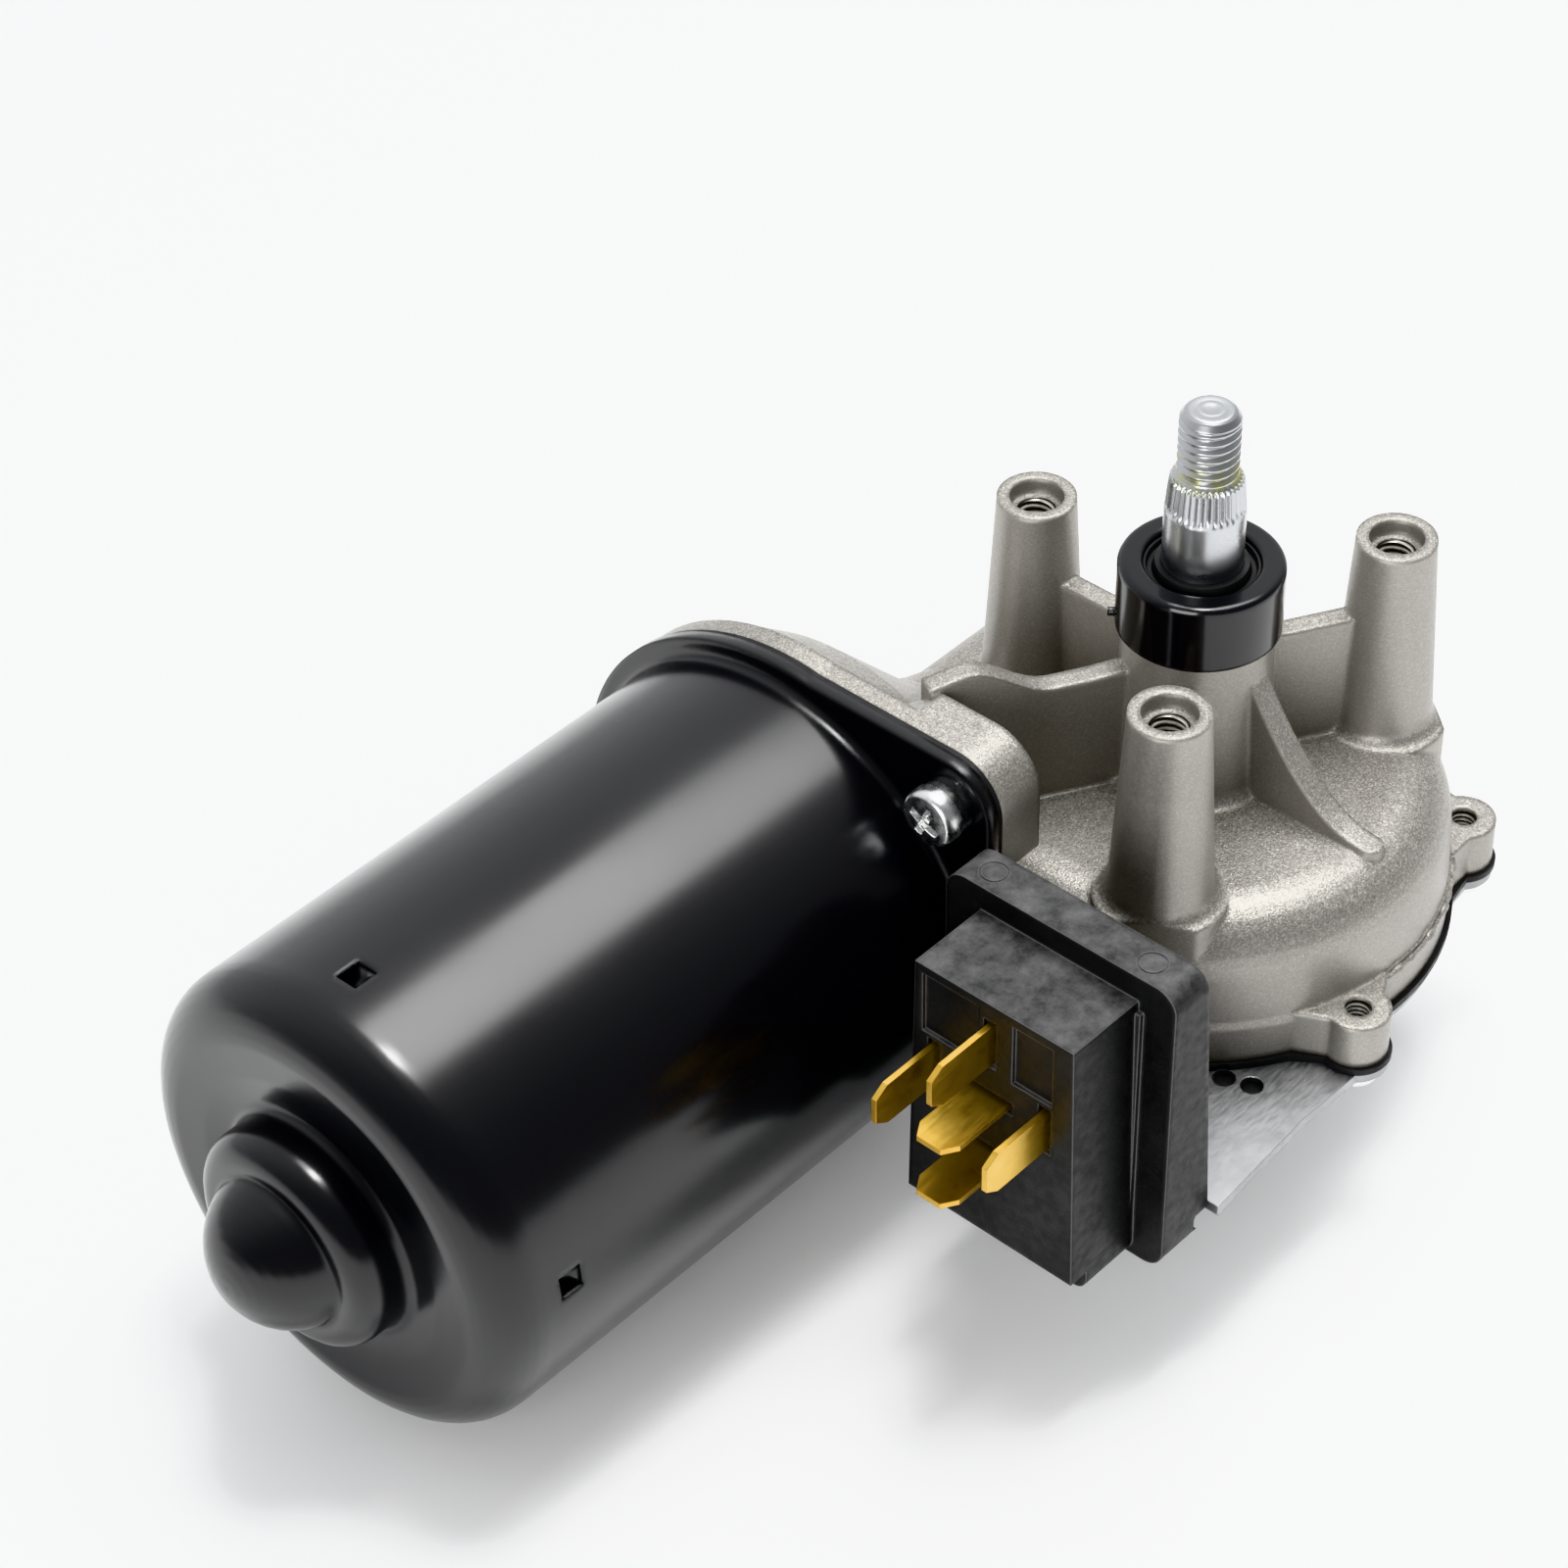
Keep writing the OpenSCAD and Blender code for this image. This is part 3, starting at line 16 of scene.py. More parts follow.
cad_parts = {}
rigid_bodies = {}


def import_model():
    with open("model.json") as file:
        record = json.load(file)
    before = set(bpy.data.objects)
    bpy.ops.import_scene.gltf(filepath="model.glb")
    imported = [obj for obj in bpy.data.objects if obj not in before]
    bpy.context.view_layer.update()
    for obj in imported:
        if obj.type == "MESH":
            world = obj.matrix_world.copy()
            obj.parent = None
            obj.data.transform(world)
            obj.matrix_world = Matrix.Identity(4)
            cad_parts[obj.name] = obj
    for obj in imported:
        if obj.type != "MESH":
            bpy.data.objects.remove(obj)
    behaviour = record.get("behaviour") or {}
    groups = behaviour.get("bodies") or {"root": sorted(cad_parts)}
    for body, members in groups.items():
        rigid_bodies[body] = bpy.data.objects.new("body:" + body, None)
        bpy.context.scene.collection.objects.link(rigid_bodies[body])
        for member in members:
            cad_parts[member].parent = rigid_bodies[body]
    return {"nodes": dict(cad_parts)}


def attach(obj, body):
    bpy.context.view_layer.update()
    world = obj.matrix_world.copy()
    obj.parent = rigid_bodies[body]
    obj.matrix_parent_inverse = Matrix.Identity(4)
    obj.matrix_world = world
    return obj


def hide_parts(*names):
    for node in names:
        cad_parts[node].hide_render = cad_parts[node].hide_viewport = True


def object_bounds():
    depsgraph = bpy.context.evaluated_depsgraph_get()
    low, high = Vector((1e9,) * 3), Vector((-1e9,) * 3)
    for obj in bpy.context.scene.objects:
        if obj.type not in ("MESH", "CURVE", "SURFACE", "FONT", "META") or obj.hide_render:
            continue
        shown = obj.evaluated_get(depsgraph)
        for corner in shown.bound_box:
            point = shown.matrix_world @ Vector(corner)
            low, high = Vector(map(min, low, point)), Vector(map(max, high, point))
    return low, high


for leftover in list(bpy.data.objects):
    bpy.data.objects.remove(leftover)
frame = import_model()
solids = frame["nodes"]
solid_box = [list(corner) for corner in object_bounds()]
print("solids:", len(solids), "box in mm:", np.round(np.array(solid_box) * 1000, 1).tolist())

# %% [markdown]
# ## The camera
# The photograph was taken from in front of the can and about 41 degrees above it, with a long
# lens that keeps the can's sides nearly parallel. The camera's place came from fitting the
# ellipses of the round parts. Its axes are written with an azimuth, an elevation and a small
# roll, which are easier to read than a quaternion.

# %% Place the camera
AZIMUTH, ELEVATION, ROLL = -46.85, 40.62, 1.27
FILM_WIDTH, FOCAL_LENGTH = 36, 96.44
CAMERA_AT = Vector((-0.34113, -0.24698, 0.32587))


def camera_axes(azimuth, elevation, roll):
    """Right, up and back of a camera, from angles in degrees. Right is (cos a, sin a, 0), back is
    (sin a cos e, -cos a cos e, sin e), up is their cross product, and the roll turns right and up
    about back."""
    a, e, r = np.radians([azimuth, elevation, roll])
    level = np.array([np.cos(a), np.sin(a), 0])
    back = np.array([np.sin(a) * np.cos(e), -np.cos(a) * np.cos(e), np.sin(e)])
    upright = np.cross(back, level)
    right = np.cos(r) * level - np.sin(r) * upright
    up = np.sin(r) * level + np.cos(r) * upright
    return right, up, back


right, up, back = camera_axes(AZIMUTH, ELEVATION, ROLL)
camera_data = bpy.data.cameras.new("camera")
camera_data.sensor_width = FILM_WIDTH
camera_data.lens = FOCAL_LENGTH
camera_data.clip_start, camera_data.clip_end = 0.02, 20
camera = bpy.data.objects.new("camera", camera_data)
bpy.context.collection.objects.link(camera)
turn = Matrix(np.column_stack([right, up, back]).tolist()).to_4x4()
camera.matrix_world = Matrix.Translation(CAMERA_AT) @ turn
bpy.context.scene.camera = camera
print("camera looks along", np.round(-back, 3).tolist())

# %% [markdown]
# ## A grid becomes a mesh
# Every new surface here is a grid of points: rows along the piece and columns round it. A shape
# is then one formula on whole arrays, and only one helper has to know about faces. It closes the
# ends, because a surface with a hole in it shades wrongly and can't be measured.

# %% Helpers for grids
MM = 0.001
AROUND = 2 * np.pi


def ramp(x, start, end):
    """A smooth step: 0 at start, 1 at end, 3t^2 - 2t^3 between them. Start may be the larger."""
    t = np.clip((x - start) / (end - start), 0, 1)
    return t * t * (3 - 2 * t)


def angles(columns):
    """One row of this many angles, evenly round the circle."""
    return AROUND * np.arange(columns)[None, :] / columns


def lathe(radius, height, columns):
    """Rings about Z. Point (i, j) is radius(i, j) at angle 2 pi j / columns and height(i, j)."""
    radius, height, angle = np.broadcast_arrays(radius, height, angles(columns))
    return np.stack([radius * np.cos(angle), radius * np.sin(angle), height], axis=-1)


def polar(reach, degrees):
    """The point at this distance from the output shaft's axis, at this angle from X."""
    return np.array([reach * np.cos(np.radians(degrees)), reach * np.sin(np.radians(degrees)), 0])


def skin(name, rings, loop=False, sharp=35):
    """One closed mesh over rings of points, (rows, columns, 3) in millimetres. Quad (i, j) joins a
    point with its neighbours along and round. With loop the last ring joins the first; otherwise a
    fan closes each end. Edges that bend by more than sharp, in degrees, stay crisp."""
    rows, columns = rings.shape[:2]
    index = np.arange(rows * columns).reshape(rows, columns)
    lower = index if loop else index[:-1]
    upper = np.roll(index, -1, axis=0) if loop else index[1:]
    quads = np.stack([lower, np.roll(lower, -1, 1), np.roll(upper, -1, 1), upper], axis=-1)
    points, faces = rings.reshape(-1, 3), quads.reshape(-1, 4).tolist()
    if not loop:
        points = np.vstack([points, rings[0].mean(0), rings[-1].mean(0)])
        first, last = np.full((2, columns), [[rows * columns], [rows * columns + 1]])
        faces += np.stack([first, np.roll(index[0], -1), index[0]], axis=-1).tolist()
        faces += np.stack([last, index[-1], np.roll(index[-1], -1)], axis=-1).tolist()
    mesh = bpy.data.meshes.new(name)
    mesh.from_pydata(points * MM, [], faces)
    mesh.polygons.foreach_set("use_smooth", np.ones(len(mesh.polygons), bool))
    mesh.set_sharp_from_angle(angle=np.radians(sharp))
    piece = bpy.data.objects.new(name, mesh)
    bpy.context.collection.objects.link(piece)
    return piece


# %% [markdown]
# ## Finishes
# Each finish is a Principled shader whose colour, roughness and relief vary as the real surface
# does. The patterns read Object coordinates, which are metres in this scene, so a scale of 1000
# is about a millimetre. One helper makes the shader, and small helpers make the patterns and join
# them to it.

# %% Helpers that make a finish
MICRON = 1e-6


def finish(name, colour, roughness, metallic=0.0, **sockets):
    """A material with a Principled shader; more sockets are named with underscores for spaces."""
    material = bpy.data.materials.new(name)
    material.use_nodes = True
    shader = shader_of(material)
    shader.inputs["Base Color"].default_value = (*colour, 1)
    shader.inputs["Roughness"].default_value = roughness
    shader.inputs["Metallic"].default_value = metallic
    for socket, value in sockets.items():
        shader.inputs[socket.replace("_", " ")].default_value = value
    material.diffuse_color = (*colour, 1)
    return material


def shader_of(material):
    """The Principled shader that every finish has."""
    return material.node_tree.nodes["Principled BSDF"]


def join(material, value, socket):
    """Set an input of a node, or link another node's output to it."""
    if isinstance(value, bpy.types.NodeSocket):
        material.node_tree.links.new(value, socket)
    else:
        socket.default_value = value


def add(material, kind, **values):
    """A new node of this kind, with its inputs set by name or joined to another node's output."""
    node = material.node_tree.nodes.new("ShaderNode" + kind)
    for key, value in values.items():
        join(material, value, node.inputs[key.replace("_", " ")])
    return node


def paint(material, colour):
    """Let this socket give the colour."""
    join(material, colour, shader_of(material).inputs["Base Color"])


def polish(material, roughness):
    """Let this socket give the roughness."""
    join(material, roughness, shader_of(material).inputs["Roughness"])


def rounded_normal(material, radius, samples=6):
    """The normal that the surface would have if its edges were rounded, by a radius in mm."""
    soft = add(material, "Bevel", Radius=radius * MM)
    soft.samples = samples
    return soft.outputs["Normal"]


def relief(material, height, depth, strength=1.0, rounding=0.0, samples=6):
    """Bump of this depth in microns, on a normal that is rounded at the edges by millimetres."""
    bump = add(material, "Bump", Height=height, Distance=depth * MICRON, Strength=strength)
    if rounding:
        join(material, rounded_normal(material, rounding, samples), bump.inputs["Normal"])
    join(material, bump.outputs["Normal"], shader_of(material).inputs["Normal"])


# %% [markdown]
# ### Patterns
# A pattern is a chain of nodes: coordinates, then noise, then a range of values or a row of
# colours. Written as small functions, a chain reads like a sentence, and the same few serve every
# finish. Two of them look at the surface itself: one finds the faces that look up, and the other
# finds the edges, where the plastic gets a painted highlight and the brass a redder cut edge.

# %% Helpers for patterns
def grey(level):
    """A colour with no hue."""
    return (level, level, level)


def place_of(material, stretch=(1, 1, 1)):
    """Object coordinates, stretched along the axes where the pattern runs one way."""
    where = add(material, "TexCoord").outputs["Object"]
    return add(material, "Mapping", Vector=where, Scale=stretch).outputs["Vector"]


def noise(material, scale, detail=3.0, stretch=(1, 1, 1), rough=0.5):
    """Cloudy noise between 0 and 1."""
    cloud = add(material, "TexNoise", Vector=place_of(material, stretch), Scale=scale,
                Detail=detail, Roughness=rough)
    return cloud.outputs["Fac"]


def spread(material, value, low, high, start=0.35, end=0.65):
    """Value from start..end becomes low..high."""
    node = add(material, "MapRange", Value=value,
               From_Min=start, From_Max=end, To_Min=low, To_Max=high)
    return node.outputs["Result"]


def tint(material, value, stops):
    """Value becomes a colour, through stops of (position, (r, g, b))."""
    node = add(material, "ValToRGB", Fac=value)
    colour_stops = node.color_ramp.elements
    while len(colour_stops) < len(stops):
        colour_stops.new(0.5)
    for stop, (position, colour) in zip(colour_stops, stops):
        stop.position, stop.color = position, (*colour, 1)
    return node.outputs["Color"]


def clouds(material, scale, detail, stops, **kind):
    """A colour that drifts through stops with cloudy noise."""
    return tint(material, noise(material, scale, detail, **kind), stops)


def drift(material, scale, detail, low, high, **kind):
    """A value that drifts between low and high with cloudy noise."""
    return spread(material, noise(material, scale, detail, **kind), low, high)


def product(material, first, second):
    """One value times the other: where either is 0, so is the result."""
    node = add(material, "Math", Value=first)
    node.operation = "MULTIPLY"
    join(material, second, node.inputs[1])
    return node.outputs["Value"]


def facing_up(material):
    """The height of the surface's normal: 1 where it looks up, 0 where it is upright."""
    normal = add(material, "NewGeometry").outputs["Normal"]
    return add(material, "SeparateXYZ", Vector=normal).outputs["Z"]


def edge_share(material, radius):
    """About 0 on flats and up to 1 on edges: one minus the cosine between the true normal and the
    one rounded by this radius in millimetres."""
    agreement = add(material, "VectorMath")
    agreement.operation = "DOT_PRODUCT"
    join(material, rounded_normal(material, radius), agreement.inputs[0])
    join(material, add(material, "NewGeometry").outputs["Normal"], agreement.inputs[1])
    return spread(material, agreement.outputs["Value"], 1, 0, 0.75, 0.98)


def blend_colours(material, share, first, second):
    """Mix of two colours or colour sockets by a share from 0 to 1."""
    node = material.node_tree.nodes.new("ShaderNodeMix")
    node.data_type = "RGBA"
    join(material, share, node.inputs["Factor"])
    for target, value in ((node.inputs["A"], first), (node.inputs["B"], second)):
        join(material, (*value, 1) if isinstance(value, tuple) else value, target)
    return node.outputs["Result"]


# %% [markdown]
# ### Shot-blasted casting
# The gear housing is pressure-cast light metal that has been shot-blasted: warm grey, with a fine
# sparkle where the shot has dimpled it. The speckled colour is partly the metal's grain and partly
# painted glints, and faces that look up get more of it, as painted light from above; so the
# normal's height sets both the relief's strength and the share of the speckled colour. Cast edges
# are never sharp, so the edges get a rounding of a millimetre.

# %% The casting's finish
casting = finish("shot_blasted_casting", (0.30, 0.287, 0.263), 0.44, metallic=0.76)
warm_grey = clouds(casting, 70, 4, [(0.3, (0.285, 0.273, 0.252)), (0.7, (0.325, 0.313, 0.29))])
flakes = add(casting, "TexVoronoi", Vector=place_of(casting), Scale=5200.0)
sparkle = add(casting, "SeparateColor", Color=flakes.outputs["Color"])
speckle = tint(casting, sparkle.outputs["Red"], [
    (0.0, (0.20, 0.19, 0.172)), (0.5, (0.30, 0.287, 0.262)),
    (0.9, (0.39, 0.374, 0.343)), (1.0, (0.52, 0.50, 0.465))])
polish(casting, spread(casting, sparkle.outputs["Green"], 0.37, 0.5, 0, 1))
# Painted glints: faces that look up get more of the bright speckle, as if lit from above
grain_and_glint_share = spread(casting, facing_up(casting), 0.25, 1.0, 0.15, 0.8)
paint(casting, blend_colours(casting, grain_and_glint_share, warm_grey, speckle))
relief(casting, noise(casting, 4200, 2), 50, strength=grain_and_glint_share, rounding=1.1)
print("casting:", len(casting.node_tree.nodes), "nodes")

# %% [markdown]
# ### Black paint
# The can is painted black after drawing. The film is smooth, with a faint orange peel a few
# millimetres wide, and a roughness just above 0.2 turns the lamp above into one soft band along
# the can. The rounding is wide enough to melt the facets of the can's shoulder. The seal cap is a
# glossier moulding, so its reflections stay sharp.

# %% Paint and glossy moulding
black_paint = finish("gloss_black_paint", (0.006, 0.006, 0.0065), 0.2, Specular_IOR_Level=0.65)
polish(black_paint, drift(black_paint, 45, 5, 0.2, 0.24))
relief(black_paint, noise(black_paint, 260, 2), 3, rounding=1.3, samples=10)

glossy_cap = finish("glossy_moulding", (0.005, 0.005, 0.0055), 0.13, Specular_IOR_Level=0.6)
polish(glossy_cap, drift(glossy_cap, 60, 4, 0.1, 0.17))
relief(glossy_cap, noise(glossy_cap, 300, 2), 4, rounding=0.6)
print("black and glossy:", black_paint.name, glossy_cap.name)

# %% [markdown]
# ### Zinc
# Screws and cover are steel under zinc. The screws are bright, with a light clouding. The cover
# is a duller sheet with soft clouds of grey, and its roughness runs along the way the sheet was
# rolled.

# %% Zinc finishes
bright_zinc = finish("bright_zinc", (0.72, 0.73, 0.73), 0.25, metallic=1.0)
paint(bright_zinc, clouds(bright_zinc, 350, 3, [
    (0.3, (0.64, 0.65, 0.65)), (0.5, (0.72, 0.73, 0.73)), (0.75, (0.78, 0.78, 0.75))]))
polish(bright_zinc, drift(bright_zinc, 900, 3, 0.22, 0.34))
relief(bright_zinc, noise(bright_zinc, 900, 3), 8, rounding=0.15)

sheet_zinc = finish("zinc_coated_sheet", (0.6, 0.61, 0.61), 0.35, metallic=1.0)
paint(sheet_zinc, clouds(sheet_zinc, 130, 5, [
    (0.3, (0.25, 0.255, 0.26)), (0.7, (0.36, 0.365, 0.37))], rough=0.6))
polish(sheet_zinc, drift(sheet_zinc, 500, 4, 0.32, 0.44, stretch=(1, 5, 1)))
relief(sheet_zinc, noise(sheet_zinc, 1400, 3), 4, rounding=0.3)
print("zinc:", bright_zinc.name, sheet_zinc.name)

# %% [markdown]
# ### Brass blades
# The blades are stamped from brass strip. Their faces carry brown stains from handling, and fine
# scratches that run one way vary both the roughness and the relief. The cut edges are redder,
# which the edge mask paints on.

# %% The brass
brass = finish("stamped_brass", (0.78, 0.55, 0.17), 0.3, metallic=1.0)
stained = clouds(brass, 190, 5, [
    (0.25, (0.36, 0.21, 0.05)), (0.42, (0.62, 0.40, 0.09)), (0.75, (0.78, 0.54, 0.14))], rough=0.6)
paint(brass, blend_colours(brass, edge_share(brass, 0.22), stained, (0.66, 0.27, 0.06)))
scratches = noise(brass, 260, 4, stretch=(1, 7, 7))
polish(brass, spread(brass, scratches, 0.28, 0.36))
relief(brass, scratches, 1.5, rounding=0.12)
print("brass:", len(brass.node_tree.nodes), "nodes")

# %% [markdown]
# ### Moulded black plastic and rubber
# The connector is glass-filled plastic. Its steep faces are nearly black with faint flow marks,
# and a paler mottle lies on the faces that look up: the two are mixed by the normal's
# height. The edges are painted a lighter grey, as a painted highlight. The gaskets and the seal
# are plain rubber.

# %% Plastic and rubber
black_plastic = finish("moulded_black_plastic", (0.03, 0.03, 0.031), 0.5, Specular_IOR_Level=0.3)
mottle = clouds(black_plastic, 240, 10, [
    (0.36, grey(0.014)), (0.5, grey(0.045)), (0.68, (0.085, 0.085, 0.084))], rough=0.72)
flow_marks = clouds(black_plastic, 90, 4, [(0.35, grey(0.005)), (0.7, grey(0.012))])
# A paler mottle on the faces that look up, mixed in by the normal's height
top_share = spread(black_plastic, facing_up(black_plastic), 0, 1, 0.2, 0.9)
steep_and_top_colour = blend_colours(black_plastic, top_share, flow_marks, mottle)
# Painted highlight: the edges get a lighter grey
painted_edge_highlight = edge_share(black_plastic, 0.4)
paint(black_plastic, blend_colours(black_plastic, painted_edge_highlight, steep_and_top_colour, (0.11, 0.11, 0.108)))
polish(black_plastic, drift(black_plastic, 700, 5, 0.40, 0.54))
relief(black_plastic, noise(black_plastic, 3000, 3), 30, rounding=0.9)

rubber = finish("black_rubber", grey(0.012), 0.6, Specular_IOR_Level=0.35)
paint(rubber, clouds(rubber, 250, 4, [(0.3, grey(0.008)), (0.8, grey(0.02))]))
polish(rubber, drift(rubber, 400, 4, 0.45, 0.7))
relief(rubber, noise(rubber, 1800, 3), 30, rounding=0.2)
print("plastic:", len(black_plastic.node_tree.nodes), "nodes")

# %% [markdown]
# ### Metals inside
# The inner pieces show only when the cover or the can is taken off, but each still gets its own
# finish. Turned steel has fine rings, so its noise is stretched. The armature's core is a stack
# of thin sheets and its windings are rows of wire, and both are bands of a wave. Sintered bronze
# is a fine speckle of pressed grains.

# %% Steel, laminations, copper and bronze
steel = finish("turned_steel", grey(0.5), 0.28, metallic=1.0)
paint(steel, clouds(steel, 200, 4, [(0.3, grey(0.40)), (0.7, (0.58, 0.57, 0.55))]))
polish(steel, drift(steel, 1200, 3, 0.2, 0.4, stretch=(6, 1, 1)))
relief(steel, noise(steel, 1800, 2, stretch=(5, 1, 1)), 10, rounding=0.1)

laminate = finish("stacked_laminations", (0.25, 0.25, 0.26), 0.45, metallic=0.9)
sheets = add(laminate, "TexWave", Vector=place_of(laminate), Scale=620.0, Distortion=0.0)
sheets.bands_direction = "X"
sheet_edges = sheets.outputs["Fac"]
paint(laminate, tint(laminate, sheet_edges, [(0.1, (0.10, 0.10, 0.11)), (0.6, (0.34, 0.34, 0.35))]))
relief(laminate, sheet_edges, 60)

copper = finish("enamelled_copper", (0.62, 0.22, 0.09), 0.3, metallic=0.9)
wires = add(copper, "TexWave", Vector=place_of(copper, (0.3, 1, 1)), Scale=520.0, Distortion=2.0,
            Detail=1.0)
wires.bands_direction = "DIAGONAL"
turns = wires.outputs["Fac"]
paint(copper, tint(copper, turns, [(0.1, (0.30, 0.08, 0.03)), (0.7, (0.72, 0.28, 0.11))]))
relief(copper, turns, 100)

bronze = finish("sintered_bronze", (0.42, 0.27, 0.13), 0.45, metallic=0.9)
paint(bronze, clouds(bronze, 1300, 4, [(0.3, (0.25, 0.15, 0.07)), (0.7, (0.50, 0.33, 0.16))]))
relief(bronze, noise(bronze, 2400, 2), 50, rounding=0.2)
print("metals inside:", steel.name, laminate.name, copper.name, bronze.name)

# %% [markdown]
# ### Magnets, brushes and insulation
# Ferrite and carbon are pressed powders, so they are dark and finely speckled. The worm wheel is
# pale moulded nylon, which lets a little light into it. The contact carrier and the brush plate
# are pressed board with fibres that run one way, and the leads have a smooth red insulation.

# %% Ferrite, carbon, nylon, board and insulation
ferrite = finish("sintered_ferrite", (0.035, 0.035, 0.038), 0.6, metallic=0.2)
paint(ferrite, clouds(ferrite, 700, 5, [(0.3, (0.022, 0.022, 0.024)), (0.75, (0.06, 0.06, 0.065))]))
relief(ferrite, noise(ferrite, 1500, 4), 50, rounding=0.3)

carbon = finish("pressed_carbon", grey(0.03), 0.5, metallic=0.3)
paint(carbon, clouds(carbon, 1600, 4, [(0.35, grey(0.015)), (0.8, (0.09, 0.08, 0.07))]))
relief(carbon, noise(carbon, 2200, 3), 40)

nylon = finish("moulded_nylon", (0.62, 0.58, 0.47), 0.4,
               Subsurface_Weight=0.15, Subsurface_Scale=0.002)
paint(nylon, clouds(nylon, 120, 4, [(0.3, (0.58, 0.53, 0.42)), (0.7, (0.68, 0.64, 0.53))]))
relief(nylon, noise(nylon, 900, 3), 20, rounding=0.2)

FIBRES = (1, 4, 4)
board = finish("pressed_board", (0.16, 0.075, 0.03), 0.55)
paint(board, clouds(board, 260, 6, [
    (0.3, (0.10, 0.045, 0.018)), (0.7, (0.22, 0.11, 0.045))], stretch=FIBRES))
relief(board, noise(board, 1100, 4, stretch=FIBRES), 40, rounding=0.2)

insulation = finish("wire_insulation", (0.45, 0.02, 0.015), 0.4)
paint(insulation, clouds(insulation, 300, 3, [
    (0.3, (0.36, 0.015, 0.012)), (0.7, (0.52, 0.03, 0.02))]))
relief(insulation, noise(insulation, 700, 2), 20)
print("other finishes inside:", ferrite.name, carbon.name, nylon.name, board.name, insulation.name)

# %% [markdown]
# ### Handing the finishes out
# Each solid comes with a slot that is named after what it is made of, so one dictionary dresses
# them all. Two pieces differ from the rest of their kind and get a finish of their own: the cover
# is a duller zinc than the screws, and the seal cap is glossier than the other plastic.

# %% Hand the finishes out
SLOT_FINISH = {
    "cast": casting, "black_paint": black_paint, "zinc": bright_zinc, "steel": steel,
    "laminate": laminate, "ferrite": ferrite, "carbon": carbon, "bronze": bronze, "brass": brass,
    "copper": copper, "rubber": rubber, "black_plastic": black_plastic, "nylon": nylon,
    "board": board, "insulation": insulation}
OWN_FINISH = {"cover_plate": sheet_zinc, "seal_cap": glossy_cap}
for solid in solids.values():
    for slot in solid.material_slots:
        slot.material = SLOT_FINISH[slot.material.name.split(".")[0]]
for name, material in OWN_FINISH.items():
    solids[name].material_slots[0].material = material
print("finishes:", len(SLOT_FINISH) + len(OWN_FINISH))

# %% [markdown]
# ## The output shaft
# The shaft is turned, then a serration and a thread are rolled on. The solid has a plain cylinder
# for the thread, so this piece stands in for it. Its radius is one function of the angle and the
# height: the turned profile, less the groove of a right-hand thread, less the serration's teeth.

# %% Turn, roll and serrate the shaft
SHAFT_R, CREST_R, TIP, FOOT = 5.2, 3.95, 26.3, -48
PITCH, GROOVE_DEPTH, THREAD_LOW = 1.25, 0.5, 17.0
TEETH, TOOTH_DEPTH, TEETH_LOW = 36, 0.34, 11.5
SHAFT_COLUMNS = 216
TURNED_Z, TURNED_R = np.array([
    (FOOT, 4.7), (-47.5, SHAFT_R), (-2.4, SHAFT_R), (-2.39, 4.6), (-1.41, 4.6), (-1.4, SHAFT_R),
    (11.4, SHAFT_R), (11.7, 5.14), (16.0, 4.75), (16.6, 4.45), (THREAD_LOW, CREST_R),
    (25.15, CREST_R), (26.0, 3.3), (TIP, 2.85)]).T


def rows_between(stops, steps):
    """Heights through the stops, with this many steps in each stretch."""
    parts = [np.linspace(a, b, n, endpoint=False) for a, b, n in zip(stops[:-1], stops[1:], steps)]
    return np.append(np.concatenate(parts), stops[-1])


def helix_phase(z, pitch, columns):
    """How far each point is through a turn of a right-hand thread: the fraction that is left of
    z / pitch - angle / 2 pi."""
    return (z / pitch - angles(columns) / AROUND) % 1


def shaft_surface():
    """Radius = turned profile - thread groove - serration. The groove is a V with narrow flats at
    its root and crest. A tooth is a smooth step of a triangle wave of the angle, and the teeth
    start at a height that is a little uneven: the sum of three sines of the angle."""
    z = rows_between([FOOT, -47.5, -2.41, -2.39, -1.41, -1.39, 11.2, 15.9, THREAD_LOW, 25.1, TIP],
                     [2, 4, 1, 2, 1, 8, 30, 12, 116, 16])[:, None]
    angle = angles(SHAFT_COLUMNS)
    off_root = np.abs(2 * helix_phase(z, PITCH, SHAFT_COLUMNS) - 1)
    groove = np.clip((0.82 - off_root) / 0.74, 0, 1) * ramp(z, 16.9, 17.5) * ramp(z, 25.3, 24.8)
    uneven = (0.1 * np.sin(7 * angle) + 0.2 * np.sin(23 * angle + 1)
              + 0.15 * np.sin(TEETH * angle * 0.5))
    tooth = ramp(np.abs(2 * ((TEETH * angle / AROUND) % 1) - 1), 0.1, 0.9)
    rolled_in = ramp(z, TEETH_LOW + uneven * 0.4, TEETH_LOW + 1.1 + uneven) * ramp(z, 16.95, 16.2)
    radius = (np.interp(z, TURNED_Z, TURNED_R)
              - GROOVE_DEPTH * groove - TOOTH_DEPTH * (tooth * rolled_in))
    return lathe(radius, z, SHAFT_COLUMNS)


# The end face: a flat with a ring and the centre mark of the lathe in it, as (radius, depth)
END_R, END_DEPTH = np.array([
    (2.6, 0.0), (1.9, 0.0), (1.75, 0.04), (1.6, 0.0), (1.2, 0.0), (0.9, 0.05), (0.6, 0.09),
    (0.25, 0.1)]).T[..., None]
end_face = lathe(END_R, TIP - END_DEPTH, SHAFT_COLUMNS)
shaft = skin("rolled_output_shaft", np.concatenate([shaft_surface(), end_face]))
print("shaft faces:", len(shaft.data.polygons))
